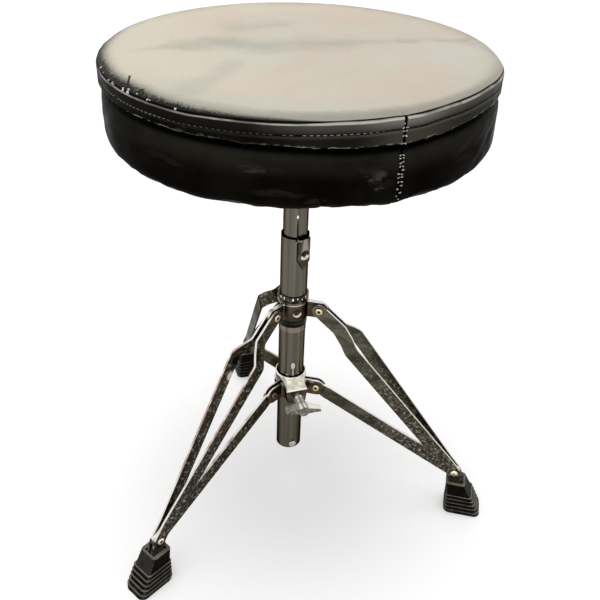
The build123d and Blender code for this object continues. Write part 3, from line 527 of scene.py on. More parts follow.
def foot_rubber():
    """Black moulded rubber: dust and painted light lie on the ledges and the rim, and the corners are paler,
    as is the foot near the floor.
    """
    g = Graph("foot_rubber_dust_and_painted_light")
    fine = g.noise(650.0, 4.0, 0.65)
    bloom = g.noise(140.0, 5.0, 0.65)
    leg = g.leg_sector()[1]
    nx, ny, nz = g.normal()
    out = abs(nx * leg.cos() + ny * leg.sin())
    across = abs(ny * leg.cos() - nx * leg.sin())
    corner = out.smaller(across).ramp(0.42, 0.62)
    g.tone = g.mix(bloom.ramp(0.35, 0.7), (0.0026, 0.0022, 0.0016), (0.0105, 0.0092, 0.0070))
    g.lay((0.085, 0.080, 0.065), corner * bloom.ramp(0.35, 0.6, 0.25, 0.8))
    # dust and painted light on the faces that look up
    g.lay((0.200, 0.190, 0.156), nz.ramp(0.35, 0.85) * bloom.ramp(0.3, 0.6, 0.55, 1.0))
    g.lay((0.09, 0.085, 0.07), g.z.ramp(0.002, 0.012, 0.5, 0.0) * bloom.ramp(0.48, 0.62))
    return g.finish(Roughness=bloom.ramp(0.3, 0.7, 0.5, 0.78), IOR=1.08,
                    Normal=g.bump(fine, 0.12, 0.45))


def seat_wood():
    """The raw underside of a plywood board: long grain along X, edge plies round the rim."""
    g = Graph("board_plywood")
    grain = g.noise(14.0, 6.0, 0.6, vector=g.stretch(1.0, 14.0, 4.0), bend=0.6)
    fleck = g.noise(120.0, 3.0, 0.6, vector=g.stretch(1.0, 9.0, 1.0))
    plies = (g.z * (2 * pi / (2.4 * MM))).sin()
    g.tone = g.mix(grain.ramp(0.35, 0.65), (0.30, 0.20, 0.11), (0.50, 0.37, 0.22))
    g.lay((0.20, 0.12, 0.06), fleck.ramp(0.6, 0.75, 0.0, 0.5))
    g.lay((0.24, 0.15, 0.08), plies.ramp(0.2, 0.8, 0.0, 0.25))
    return g.finish(Roughness=grain.ramp(0.3, 0.7, 0.6, 0.8), Normal=g.bump(fleck, 0.2, 0.4))


# ---------------------------------------------------------------- vinyl and thread
def segment_distance(g, a, b):
    """The flat distance in XY from a point of the surface to the line from a to b."""
    (ax, ay), (bx, by) = a, b
    dx, dy = bx - ax, by - ay
    squared = dx * dx + dy * dy
    px, py = g.x - ax, g.y - ay
    share = (px * (dx / squared) + py * (dy / squared)).larger(0.0).smaller(1.0)
    return length(px - share * dx, py - share * dy)


def vinyl_grain(g, strength):
    """Leather-cloth grain: small pebbles over softer creases."""
    creases = g.bump(g.noise(150.0, 5.0, 0.6), 0.25, strength * 0.6)
    return g.bump(g.cells(620.0, feature="SMOOTH_F1"), 0.12, strength, under=creases)


def top_vinyl():
    """The worn top panel: a pale dusty sheen in soft patches, partly a painted reflection, with painted shade
    along its creases and at its edge, darkest in a grainy fringe at the left.
    """
    g = Graph("seat_vinyl_top_worn")
    broad = g.noise(9.0, 4.0, 0.5, bend=0.5)
    warm = g.noise(13.0, 3.0, 0.5)
    fine = g.noise(640.0, 4.0, 0.65)
    wobble = g.noise(24.0, 5.0, 0.62) * 0.046 - 0.022
    # the pale tone is dust and a painted reflection together, painted lighter to the left and the back and
    # darker near the front edge
    g.tone = g.mix(broad.ramp(0.38, 0.62), (0.625, 0.575, 0.472), (0.645, 0.530, 0.432))
    g.lay((0.612, 0.592, 0.512), warm.ramp(0.46, 0.70, 0.0, 0.75))
    g.lay((0.735, 0.675, 0.545), g.x.ramp(0.02, -0.14, 0.0, 0.75))
    g.lay((0.740, 0.680, 0.550), g.y.ramp(0.06, 0.15, 0.0, 0.6))
    g.lay((0.560, 0.548, 0.455), g.reach().ramp(0.105, 0.148) * g.y.ramp(0.0, -0.09) * 0.7)
    # painted shade along the creases
    for a, b, width, depth in CREASES:
        g.lay((0.420, 0.425, 0.358), (segment_distance(g, a, b) + wobble).ramp(0.0, width, depth, 0.0))
    g.lay((0.30, 0.27, 0.22), fine.ramp(0.30, 0.50, 0.15, 0.0))
    g.lay((0.80, 0.76, 0.66), fine.ramp(0.52, 0.70, 0.0, 0.16))
    g.lay((0.16, 0.15, 0.13), g.noise(260.0, 4.0, 0.65).ramp(0.70, 0.74, 0.0, 0.5))
    # the edge, all painted shade: a soft shade all round, a dim left side, and a grainy black fringe, widest
    # at the left
    inset = SEAT_R - g.reach()
    soft = (inset + wobble * 0.2).ramp(0.0185, 0.0010)
    g.lay((0.235, 0.222, 0.185), soft * soft * 0.55)
    dim = inset.ramp(0.0125, 0.0020)
    g.lay((0.060, 0.057, 0.047), dim * dim * g.x.ramp(-0.105, -0.140) * fine.ramp(0.35, 0.60, 1.0, 0.6))
    left = g.x.ramp(-0.040, -0.145)
    left = left * left * g.y.ramp(0.03, -0.02, 0.25, 1.0)
    grains = g.noise(520.0, 3.0, 0.62) * -0.0064 + (wobble * 0.10 + 0.0032)
    spread = left * 0.0022 + g.x.ramp(-0.025, -0.070, 0.0014, 0.0033)
    fringe = (inset + grains * (left * 0.95 + 0.05)) / spread
    g.lay((0.009, 0.0085, 0.007), fringe.ramp(1.0, 0.35))
    for a, b, width in TEARS:
        g.lay((0.015, 0.014, 0.012), segment_distance(g, a, b).ramp(width, width * 0.4))
    return g.finish(Roughness=broad.ramp(0.3, 0.7, 0.42, 0.54), IOR=1.2,
                    Normal=vinyl_grain(g, 0.60))


def butt_slit_shade(g):
    """The painted shade of the dark slit where the two ends of the cover's side meet."""
    across = (g.azimuth() - BUTT_AZIMUTH) * (SEAT_R / MM)
    wander = g.noise(60.0, 3.0, 0.6) * 2.4 - 1.2
    return abs(across + wander).ramp(1.4, 0.5)


def hanging_z(g):
    """The height a point on the cover had before the cover stretched and dropped."""
    seam, hem = g.azimuth().lookup(EDGE_DROP), g.azimuth().lookup(HEM_DROP)
    share = (g.z + hem).ramp(STRIP_LOW_Z, STITCH_Z)
    return g.z + hem + share * (seam - hem)


def side_vinyl():
    """The side band: near black, with a painted dull sheen where its folds face up and on its upper part,
    painted highlights and shade at its dents, and painted shade under the strip and in the butt seam's slit.
    """
    g = Graph("seat_vinyl_side")
    broad = g.noise(22.0, 4.0, 0.55)
    scuffs = g.noise(90.0, 6.0, 0.7, vector=g.stretch(1.0, 1.0, 3.0))
    patchy = g.noise(170.0, 4.0, 0.65, vector=g.stretch(1.0, 1.0, 2.0)).ramp(0.44, 0.58)
    below = (STRIP_LOW_Z - hanging_z(g)) / MM
    g.tone = g.mix(broad.ramp(0.35, 0.7), (0.0026, 0.0022, 0.0016), (0.0075, 0.0065, 0.0048))
    # a painted sheen where the folds face up, broken by scuffs
    sheen = g.facing_up().ramp(0.06, 0.42) * broad.ramp(0.3, 0.6, 0.4, 1.0)
    g.lay((0.020, 0.018, 0.014), sheen * scuffs.ramp(0.36, 0.60, 0.2, 1.0))
    # painted highlights and painted shade at the dents
    for azimuth, z, half_wide, half_tall, grey in DENT_LIGHT_AND_SHADE:
        mark = g.spot(azimuth, z * MM, half_wide, half_tall, SEAT_R)
        g.lay((grey, grey * 0.92, grey * 0.76), mark * patchy)
    g.lay((0.050, 0.045, 0.036), scuffs.ramp(0.70, 0.80, 0.0, 0.5))
    # a painted sheen on the upper side band
    g.lay((0.021, 0.020, 0.015), below.ramp(25.0, 9.0) * broad.ramp(0.30, 0.62, 0.45, 1.0) * 0.9)
    # painted shade in the butt seam's slit, and under the strip's edge
    g.lay((0.0004, 0.0004, 0.0004), butt_slit_shade(g))
    g.lay((0.0006, 0.0005, 0.0004), below.ramp(7.5, 3.5))
    return g.finish(Roughness=broad.ramp(0.3, 0.7, 0.30, 0.44), IOR=1.035,
                    Normal=vinyl_grain(g, 0.22))


def strip_vinyl():
    """The facing strip: a painted highlight on its rolled edge, a grey upper half in painted light, and a
    dark scuffed lower half.
    """
    g = Graph("seat_vinyl_strip")
    broad = g.noise(22.0, 4.0, 0.55)
    scuffs = g.noise(130.0, 6.0, 0.75, vector=g.stretch(1.0, 1.0, 2.0))
    z = hanging_z(g)
    over = (z - STITCH_Z) / MM
    right = g.x.ramp(-0.085, -0.035, 0.03, 0.40) + g.x.ramp(-0.020, 0.018, 0.0, 0.60)
    far = g.x.ramp(0.022, 0.075, 1.0, 0.40)
    below = over.ramp(0.0, -1.0)
    g.tone = g.mix(broad.ramp(0.35, 0.7), (0.0025, 0.0021, 0.0015), (0.0080, 0.0068, 0.0052))
    # painted light on the strip, most on its right: strong over the grey upper half, weaker over the lower
    # half
    upper = over.ramp(-1.0, (SEAM_Z - STITCH_Z) / MM - 2.0, 0.25, 1.0) * over.ramp(-1.6, -0.4)
    g.lay((0.215, 0.206, 0.175), upper * right * far)
    g.lay((0.060, 0.057, 0.046), below * right * right * far)
    g.lay((0.085, 0.076, 0.058), scuffs.ramp(0.60, 0.72) * (below * 0.45 + 0.15))
    # a painted lit lip just under the stitches, and painted shade where the stitches lie sunk, as does the
    # edge under the top panel
    g.lay((0.110, 0.105, 0.086), over.between(-3.1, -1.3, -0.9, -0.5) * (right * 0.60 + 0.10))
    from_seam = (z - SEAM_Z) / MM
    sunk = abs(over).ramp(0.4, 1.0, 0.9, 0.0).larger(from_seam.ramp(-0.7, -0.4))
    g.lay((0.0040, 0.0036, 0.0028), sunk)
    # a painted highlight on the rolled edge, thin at the left and broad over the rest
    rolled = g.x.ramp(-0.050, -0.020)
    off_roll = abs(from_seam + 1.3 - rolled * 0.35) / (rolled * 0.75 + 1.0)
    lit = off_roll.ramp(0.7, 0.25) * g.noise(34.0, 3.0).ramp(0.36, 0.58, 0.35, 1.0)
    g.lay((0.66, 0.64, 0.58), lit * g.x.ramp(-0.14, 0.08, 0.60, 1.0))
    hem = ((z - STRIP_LOW_Z) / MM).ramp(1.1, 0.5) * scuffs.ramp(0.52, 0.58)
    g.lay((0.28, 0.25, 0.20), hem * g.x.ramp(-0.09, 0.02, 0.40, 1.0))
    g.lay((0.0008, 0.0007, 0.0006), butt_slit_shade(g))
    return g.finish(Roughness=broad.ramp(0.3, 0.7, 0.34, 0.46), IOR=1.048,
                    Normal=vinyl_grain(g, 0.22))


def thread(name, colour, dull, black_right=False):
    """Twisted thread that has gone dull in places, and that is black on the seat's right side if asked."""
    g = Graph(name)
    twist = g.noise(900.0, 2.0, 0.5)
    g.tone = g.mix(twist.ramp(0.3, 0.7), [c * 0.6 for c in colour], colour)
    g.lay((0.02, 0.018, 0.015), g.noise(16.0, 3.0).ramp(0.42, 0.62, 0.0, dull))
    if black_right:
        g.lay((0.003, 0.003, 0.002), g.x.ramp(-0.010, 0.012))
    return g.finish(Roughness=0.8, Normal=g.bump(twist, 0.1, 0.6))


# ---------------------------------------------------------------- seat geometry
seat_low, seat_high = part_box("seat_cushion")
board_low, board_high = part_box("seat_board")
SEAT_R = seat_high.x
BOTTOM_Z = seat_low.z
DOME = 5.2 * MM
SEAM_Z = seat_high.z - DOME
HEM_R = board_high.x - 24 * MM
FOOT_R = 14 * MM
STITCH_Z = SEAM_Z - 7.9 * MM
STRIP_LOW_Z = SEAM_Z - 14.4 * MM
GROOVE_Z = SEAM_Z - 16.2 * MM
BAND_TOP_Z = SEAM_Z - 18.6 * MM
BUTT_AZIMUTH = radians(-82.8)
BULGE_AZIMUTH = radians(164)
BULGE_FOOT_Z = 420 * MM
AROUND = 512

# How far the worn cover hangs below its rest outline round the seat: azimuth, millimetres
EDGE_DROP = ((-180, 4.0), (-165, 4.4), (-138, 4.4), (-122, 3.0), (-96, 1.5), (-80, 0.9), (-68, -1.0),
             (-52, -2.2), (-38, -1.0), (-22, 1.5), (0, 1.0), (60, 0.5), (130, 2.0), (180, 4.0))
HEM_DROP = ((-180, 2.8), (-110, 2.8), (-94, 4.1), (-82, 4.1), (-68, 1.4), (-52, -1.0), (-22, 1.0), (60, 0.5),
            (180, 2.8))
FOOT_DROP = ((-180, 2.2), (-166, 3.4), (-145, 3.8), (-130, 3.0), (-118, 2.2), (-104, 1.2), (-96, 0.8),
             (-85, 2.8), (-75, 1.0), (-62, 1.8), (-48, 0.8), (0, 0.3), (90, 1.0), (180, 2.2))

# Soft creases across the top, pressed in and with painted shade along them: from, to, half width, depth of
# painted shade
CREASES = (
    ((-0.116, 0.018), (-0.090, 0.018), 0.013, 0.40),
    ((-0.082, 0.022), (-0.052, 0.026), 0.026, 0.46),
    ((-0.052, 0.026), (-0.030, 0.006), 0.030, 0.62),
    ((-0.030, 0.006), (0.024, 0.004), 0.028, 0.62),
    ((0.024, 0.004), (0.084, 0.005), 0.018, 0.58),
    ((0.084, 0.005), (0.114, 0.003), 0.015, 0.58),
    ((0.114, 0.003), (0.138, -0.006), 0.010, 0.50),
    ((-0.034, 0.064), (0.000, 0.072), 0.026, 0.48),
    ((-0.100, -0.080), (-0.062, -0.038), 0.018, 0.36),
)
# Cracks in the top's rolled edge: from, to, width
TEARS = (
    ((-0.1345, -0.043), (-0.1385, -0.0600), 0.0012),
    ((-0.1290, -0.070), (-0.1350, -0.0665), 0.0009),
)
# Dents in the side band, in millimetres: azimuth in degrees, height, half length, half height, depth
DENTS = (
    (-116.5, 432.5, 13.0, 3.6, 2.4),
    (-113.0, 416.5, 15.0, 3.0, 1.9),
    (-90.5, 433.5, 7.0, 3.2, 2.6),
    (-88.0, 424.0, 8.0, 5.5, 2.2),
    (-143.0, 428.0, 16.0, 4.0, 1.2),
    (-60.0, 425.0, 14.0, 5.0, 1.3),
    (-20.0, 430.0, 18.0, 4.5, 1.4),
    (24.0, 420.0, 13.0, 4.0, 1.5),
    (68.0, 431.0, 16.0, 4.0, 1.6),
    (108.0, 421.0, 15.0, 4.5, 1.5),
    (152.0, 430.0, 17.0, 4.0, 1.4),
)
# Painted highlights and painted shade at dents in the side band, in millimetres: azimuth in degrees, height,
# half width, half height, grey
DENT_LIGHT_AND_SHADE = (
    (-119.5, 427.5, 10.0, 2.3, 0.040),
    (-89.2, 423.0, 8.0, 4.2, 0.060),
    (-88.4, 414.0, 4.5, 1.4, 0.060),
    (-104.0, 408.0, 16.0, 2.2, 0.016),
    (-119.0, 434.5, 11.0, 2.6, 0.0006),
    (-92.0, 431.5, 8.0, 3.2, 0.0006),
    (12.0, 423.0, 14.0, 3.4, 0.030),
    (96.0, 428.0, 18.0, 3.0, 0.024),
    (161.0, 420.0, 12.0, 3.6, 0.030),
)
# Ripples of the side band: fewest and most waves round the seat, height in millimetres
RIPPLES = ((7, 18, 0.34), (20, 44, 0.20), (60, 110, 0.10))
# Tufts of wadding at the left edge: azimuth, half spread, fibres
TUFTS = ((-177.5, 0.5, 3), (-173.0, 0.4, 3), (-167.0, 0.3, 2), (-164.3, 0.4, 3), (-158.4, 0.3, 2),
         (-156.2, 0.6, 5), (-147.8, 0.4, 3), (-152.6, 0.2, 1), (-139.0, 0.2, 1))
# The cloth that the padding blows up
CLOTH = {"vertex_group_mass": "seams", "quality": 6, "mass": 0.4, "tension_stiffness": 25,
         "compression_stiffness": 25, "bending_stiffness": 1.5, "shrink_min": -0.006,
         "use_pressure": True, "uniform_pressure_force": 3.2}
CLOTH_STEPS = 16
CLOTH_AROUND = 160
# The top's panel of cloth: its rings and the small hole in its middle, as a share of the radius
PANEL_RINGS, PANEL_HOLE = 34, 0.02
# How far the padding may push the cover out
TOP_PUFF, SIDE_PUFF = 2.2 * MM, 3.0 * MM


def smooth(t):
    """A soft step from 0 to 1 as t goes from 0 to 1."""
    t = np.clip(t, 0, 1)
    return t * t * (3 - 2 * t)


def bell(t):
    """1 at 0, fading to 0 on both sides."""
    return np.exp(-t ** 2)


def turned(angle, azimuth):
    """How far each angle lies round the seat from an azimuth, from -pi to pi."""
    return (angle - azimuth + pi) % (2 * pi) - pi


def waves(angle, seed, lowest, highest, count):
    """A smooth closed ripple round the seat, the same for one seed each time."""
    rng = np.random.default_rng(seed)
    total = np.zeros_like(angle)
    weight = 0.0
    for _ in range(count):
        turns = rng.integers(lowest, highest + 1)
        size = rng.uniform(0.4, 1.0)
        total += size * np.sin(turns * angle + rng.uniform(0, 2 * pi))
        weight += size
    return total / weight * 1.6


def dropped(table, angle):
    """Metres of drop at each angle, read from a table."""
    places, drops = zip(*table)
    return np.interp((np.degrees(angle) + 180) % 360 - 180, places, drops) * MM


def beside(z, *offsets):
    """Points of the outline by their offsets in millimetres from the seat's radius and a height."""
    return [(SEAT_R + out * MM, z + up * MM) for out, up in offsets]


def profile():
    """The cover's outline as (radius, height), from the middle of the top, out, down and under."""
    top = []
    for share in [*np.linspace(0.0, 0.93, 26), *np.linspace(0.94, 0.994, 10)]:
        edge = 1 - np.exp(-((1 - share) * SEAT_R / (4.6 * MM)) ** 1.1)
        top.append((SEAT_R * share, SEAM_Z + DOME * (1 - 0.45 * share ** 2) * edge))
    welt = beside(SEAM_Z, (-0.5, 0.45), (-0.15, -0.05), (-0.35, -0.5), (0.15, -0.9), (0.45, -1.6),
                  (0.45, -2.6))
    strip = [(SEAT_R + 0.4 * MM, z) for z in np.linspace(SEAM_Z - 4.0 * MM, STITCH_Z + 1.2 * MM, 3)]
    strip += beside(STITCH_Z, (0.02, 0.3), (0.02, -0.3))
    strip += [(SEAT_R + 0.45 * MM, z) for z in np.linspace(STITCH_Z - 1.2 * MM, STRIP_LOW_Z + 1.2 * MM, 4)]
    strip += beside(STRIP_LOW_Z, (0.5, 0.45), (0.1, 0.0))
    groove = beside(STRIP_LOW_Z, (-1.3, -0.2))
    groove += beside(GROOVE_Z, (-2.1, 0.0), (-1.9, -1.2)) + beside(BAND_TOP_Z, (-1.0, 0.0))
    foot_z = BOTTOM_Z + FOOT_R
    band = [(SEAT_R - 1.0 * MM * (1 - smooth(t * 2.5)), BAND_TOP_Z + (foot_z - BAND_TOP_Z) * t)
            for t in np.linspace(0.06, 1.0, 22)]
    turn = [(SEAT_R - FOOT_R + FOOT_R * cos(a), foot_z - FOOT_R * sin(a))
            for a in np.linspace(0, pi / 2, 14)[1:]]
    under = [(r, BOTTOM_Z) for r in np.linspace(SEAT_R - FOOT_R, HEM_R + 1.0 * MM, 12)[1:]]
    low, high = board_low.z - 0.3 * MM, board_high.z + 0.3 * MM
    lip = [(HEM_R + 0.2 * MM, BOTTOM_Z + 0.3 * MM), (HEM_R, BOTTOM_Z + 0.8 * MM), (HEM_R, low)]
    inner = board_high.x + 0.3 * MM
    pocket = [(inner, low), (inner, high), (0.0, high)]
    parts = (top, welt, strip, groove, band, turn, under, lip, pocket)
    zones = np.concatenate([[i] * len(p) for i, p in enumerate(parts)])
    return np.array([p for part in parts for p in part]), zones


# The outline's zones by number. The hem's lip and pocket come after them.
TOP, WELT, STRIP, GROOVE, BAND, TURN, UNDER = range(7)
EDGE_ZONES = (WELT, STRIP, GROOVE)
SIDE_ZONES = (BAND, TURN)


def ring_faces(rings, around):
    """The quads between closed rings of points."""
    pairs = [(j, (j + 1) % around) for j in range(around)]
    return [(row + j, row + k, row + around + k, row + around + j)
            for row in range(0, (rings - 1) * around, around) for j, k in pairs]


def linked_object(name, data):
    """A new object in the scene."""
    made = bpy.data.objects.new(name, data)
    bpy.context.scene.collection.objects.link(made)
    return made


def simulated_puff(name, line, pinned):
    """Blow up one panel of cloth, held at its seams, and return how far each ring of points moved.

    line is the panel's outline as (radius, height); pinned are the rings that the seams hold.
    """
    around = CLOTH_AROUND
    angles = np.linspace(0, 2 * pi, around, endpoint=False)
    mesh = bpy.data.meshes.new(name)
    points = [(r * cos(a), r * sin(a), z) for r, z in line for a in angles]
    mesh.from_pydata(points, [], ring_faces(len(line), around))
    panel = linked_object(name, mesh)
    held = panel.vertex_groups.new(name=CLOTH["vertex_group_mass"])
    held.add([i * around + j for i in pinned for j in range(around)], 1.0, "REPLACE")
    settings = panel.modifiers.new("cloth", "CLOTH").settings
    for key, value in CLOTH.items():
        setattr(settings, key, value)
    settings.effector_weights.gravity = 0
    scene = bpy.context.scene
    for step in range(1, CLOTH_STEPS + 1):
        scene.frame_set(step)
    settled = panel.evaluated_get(bpy.context.evaluated_depsgraph_get()).to_mesh()
    moved = np.array([v.co for v in settled.vertices]) - np.array(points)
    scene.frame_set(1)
    bpy.data.objects.remove(panel)
    return moved.reshape(len(line), around, 3)


def puff_at(moves, rings, angle, limit):
    """Read a panel's simulated moves at other rings and angles, and cap how far a point goes."""
    count, around, _ = moves.shape
    across = angle / (2 * pi) * around % around
    low = np.floor(across).astype(int) % around
    share = (across - np.floor(across))[:, None]
    row = np.clip(rings, 0, count - 1.001)
    first = np.floor(row).astype(int)
    tilt = (row - first)[:, None, None]
    here, there = (moves[i][:, low] * (1 - share) + moves[i][:, (low + 1) % around] * share
                   for i in (first, first + 1))
    found = here * (1 - tilt) + there * tilt
    size = np.linalg.norm(found, axis=2, keepdims=True)
    return found * np.minimum(1, limit / np.maximum(size, 1e-9))


def puffed(line, zones, angle):
    """How far the padding blows the top and the side out."""
    shift = np.zeros((len(line), AROUND, 3))
    top_rings = np.flatnonzero(zones == TOP)
    flat = [(SEAT_R * (PANEL_HOLE + (1 - PANEL_HOLE) * t), SEAM_Z + DOME * (1 - t * t))
            for t in np.linspace(0, 1, PANEL_RINGS)]
    spots = (line[top_rings, 0] / SEAT_R - PANEL_HOLE) / (1 - PANEL_HOLE) * (PANEL_RINGS - 1)
    shift[top_rings] = puff_at(simulated_puff("top_panel", flat, [PANEL_RINGS - 1]), spots, angle, TOP_PUFF)
    side_rings = np.flatnonzero(np.isin(zones, SIDE_ZONES))
    side = [tuple(p) for p in line[side_rings][::2]]
    moves = simulated_puff("side_panel", side, [0, len(side) - 1])
    shift[side_rings] = puff_at(moves, np.arange(len(side_rings)) / 2, angle, SIDE_PUFF)
    return shift


def dented(z, angle):
    """How far the dents, with a low ridge under each, and the ripples move the side band out."""
    press, ripple = np.zeros_like(z), np.zeros_like(z)
    for azimuth, height, long, tall, depth in DENTS:
        bend = waves(angle, int(azimuth * 7) % 97, 9, 26, 4) * 1.4
        across = (turned(angle, radians(azimuth)) * SEAT_R / MM / long) ** 2
        up = z / MM - height - bend
        press -= depth * MM * np.exp(-across - (up / tall) ** 2)
        press += 0.55 * depth * MM * np.exp(-across - ((up + tall * 1.5) / (tall * 0.8)) ** 2)
    for k, (low, high, size) in enumerate(RIPPLES):
        ripple += size * MM * waves(angle[None] + (SEAM_Z - z) * (6.0 + 5 * k), 31 + k, low, high, 6)
    return press + ripple * smooth((SEAM_Z - 16 * MM - z) / (8 * MM))


def cover_points():
    """The cover's points, ring by ring, with the puff, dents and gathers pressed in."""
    line, zones = profile()
    angle = np.linspace(0, 2 * pi, AROUND, endpoint=False)
    r = np.repeat(line[:, :1], AROUND, 1)
    z = np.repeat(line[:, 1:], AROUND, 1)
    x, y = r * np.cos(angle), r * np.sin(angle)
    top, side, edge = (np.isin(zones, group)[:, None] for group in (TOP, SIDE_ZONES, EDGE_ZONES))
    press = side * dented(z, angle)
    press += np.isin(zones, (WELT, STRIP))[:, None] * 0.22 * MM * waves(angle, 51, 14, 60, 7)
    sag = waves(angle, 52, 5, 30, 7) * 0.55 * MM + waves(angle, 53, 60, 120, 5) * 0.16 * MM
    lift = np.isin(zones, (STRIP, GROOVE))[:, None] * smooth((STITCH_Z - z) / (5 * MM)) * sag
    # the butt seam down the side band and the facing strip
    along = turned(angle, BUTT_AZIMUTH) * SEAT_R / MM
    notch = bell(along / 0.9) * 0.9 - bell((np.abs(along) - 2.4) / 1.5) * 0.35
    press -= (edge | side) * notch * MM
    gap = top * smooth((r - 0.94 * SEAT_R) / (0.06 * SEAT_R)) * bell(along / 1.6) * 2.2 * MM
    press -= gap * 0.7
    lift -= gap * 0.5
    # the top: long soft hollows, creases, and an edge that rolls down most on the left
    hollows = np.sin(x * 31 + 1.3) * np.cos(y * 37 + 0.4) * 0.45 + np.sin(x * 67 - y * 41 + 2.0) * 0.2
    lift += top * hollows * MM * smooth((1 - r / SEAT_R) * 9)
    for (ax, ay), (bx, by), width, depth in CREASES:
        dx, dy = bx - ax, by - ay
        t = np.clip(((x - ax) * dx + (y - ay) * dy) / (dx * dx + dy * dy), 0, 1)
        away = np.hypot(x - ax - t * dx, y - ay - t * dy)
        lift -= top * depth * 1.2 * MM * bell(away / (width * 0.7))
    leftness = smooth(0.5 - 0.8 * np.cos(angle - radians(18)))
    inset = np.maximum(SEAT_R - r, 0)
    roll = np.exp(-(inset / (9 * MM)) ** 1.4) * smooth(inset / (2 * MM))
    lift -= top * leftness * roll * 0.6 * MM
    # the whole edge has stretched: the seam, the strip's hem and the foot each hang by their own amount
    seam, hem, foot = (dropped(table, angle) for table in (EDGE_DROP, HEM_DROP, FOOT_DROP))
    lift -= top * np.exp(-(inset / (11 * MM)) ** 1.6) * seam
    share = smooth((STITCH_Z - z) / (STITCH_Z - STRIP_LOW_Z))
    lift -= edge * (seam * (1 - share) + hem * share)
    share = smooth((BAND_TOP_Z - z) / (28 * MM))
    lift -= side * (hem * (1 - share) + foot * share)
    lift -= (zones == UNDER)[:, None] * foot * smooth((r - HEM_R) / (17 * MM))
    # the left of the side bulges above and is drawn in at the foot
    bulge = bell(turned(angle, BULGE_AZIMUTH) / 0.5) * MM
    swell = 1.4 * smooth((z - BAND_TOP_Z + 6 * MM) / (12 * MM)) - 1.0 * smooth((BULGE_FOOT_Z - z) / (12 * MM))
    press += (edge | side) * bulge * swell
    press += top * bulge * 1.4 * smooth((r - 0.93 * SEAT_R) / (0.07 * SEAT_R))
    # gathers where the side is pulled under to the staples
    gather = smooth((SEAT_R - r) / (20 * MM)) * smooth((r - HEM_R) / (4 * MM))
    pleats = np.maximum(waves(angle, 71, 50, 96, 8), 0)
    lift += np.isin(zones, (TURN, UNDER))[:, None] * gather * pleats * 0.9 * MM
    moved = np.stack([x + np.cos(angle) * press, y + np.sin(angle) * press, z + lift], 2)
    return moved + puffed(line, zones, angle), zones


def add_mesh(name, points, faces, material):
    """A smooth mesh that turns with the seat."""
    mesh = bpy.data.meshes.new(name)
    mesh.from_pydata([tuple(p) for p in points], [], faces)
    mesh.materials.append(material)
    mesh.polygons.foreach_set("use_smooth", [True] * len(mesh.polygons))
    made = linked_object(name, mesh)
    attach(made, "seat")
    return made


def make_cover(top_material, strip_material, side_material):
    """The whole cover as one closed mesh, in three materials."""
    grid, zones = cover_points()
    points = np.concatenate([grid[1:-1].reshape(-1, 3), [grid[0].mean(0)], [grid[-1].mean(0)]])
    faces = [(a, d, c, b) for a, b, c, d in ring_faces(len(grid) - 2, AROUND)]
    slots = [0 if zone == TOP else 1 if zone in (WELT, STRIP) else 2
             for zone in zones[2:-1] for _ in range(AROUND)]
    middle_top, middle_low = len(points) - 2, len(points) - 1
    last = middle_top - AROUND
    for j in range(AROUND):
        k = (j + 1) % AROUND
        faces += [(middle_top, j, k), (middle_low, last + k, last + j)]
        slots += [0, 2]
    cover = add_mesh("seat_cover", points, faces, top_material)
    cover.data.materials.append(strip_material)
    cover.data.materials.append(side_material)
    cover.data.polygons.foreach_set("material_index", slots)
    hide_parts("seat_cushion")
    return grid[np.isin(zones, EDGE_ZONES + SIDE_ZONES)]


class Surface:
    """Reads the finished side of the cover, so that threads lie on it."""

    def __init__(self, rings):
        self.rings = rings

    def at(self, azimuth, height, off=0.0):
        """The point at an azimuth and a height, standing off the surface by a little."""
        spot = azimuth / (2 * pi) * AROUND % AROUND
        low = int(spot) % AROUND
        share = spot - int(spot)
        line = self.rings[:, low] * (1 - share) + self.rings[:, (low + 1) % AROUND] * share
        i = int(np.argmin(np.abs(line[:, 2] - height)))
        i = min(max(i, 1), len(line) - 2)
        other = i + 1 if (line[i, 2] - height) * (line[i + 1, 2] - height) <= 0 else i - 1
        span = line[other, 2] - line[i, 2]
        t = 0.0 if abs(span) < 1e-9 else np.clip((height - line[i, 2]) / span, 0, 1)
        point = line[i] * (1 - t) + line[other] * t
        return point + np.array([cos(azimuth), sin(azimuth), 0]) * off


def tube_along(path, radius, sides=6):
    """A thin thread's points and faces along a path, closed with a point at each end."""
    path = np.array(path)
    ahead = np.gradient(path, axis=0)
    ahead /= np.linalg.norm(ahead, axis=1, keepdims=True)
    out = path * [1, 1, 0]
    out /= np.maximum(np.linalg.norm(out, axis=1, keepdims=True), 1e-9)
    side = np.cross(ahead, out)
    side /= np.maximum(np.linalg.norm(side, axis=1, keepdims=True), 1e-9)
    over = np.cross(side, ahead)
    turn = np.linspace(0, 2 * pi, sides, endpoint=False)[:, None]
    fat = np.full((len(path), 1, 1), radius)
    fat[[0, -1]] *= 0.55
    rings = path[:, None] + fat * (side[:, None] * np.cos(turn) + over[:, None] * np.sin(turn))
    points = [*rings.reshape(-1, 3), path[0] - ahead[0] * radius, path[-1] + ahead[-1] * radius]
    faces = ring_faces(len(path), sides)
    start, end, last = len(points) - 2, len(points) - 1, (len(path) - 1) * sides
    faces += [(start, (j + 1) % sides, j) for j in range(sides)]
    faces += [(end, last + j, last + (j + 1) % sides) for j in range(sides)]
    return points, faces


def thread_mesh(threads):
    """Many threads, each a path, a radius and perhaps a number of sides, as one mesh."""
    points, faces = [], []
    for settings in threads:
        start = len(points)
        some_points, some_faces = tube_along(*settings)
        points += some_points
        faces += [tuple(i + start for i in f) for f in some_faces]
    return points, faces


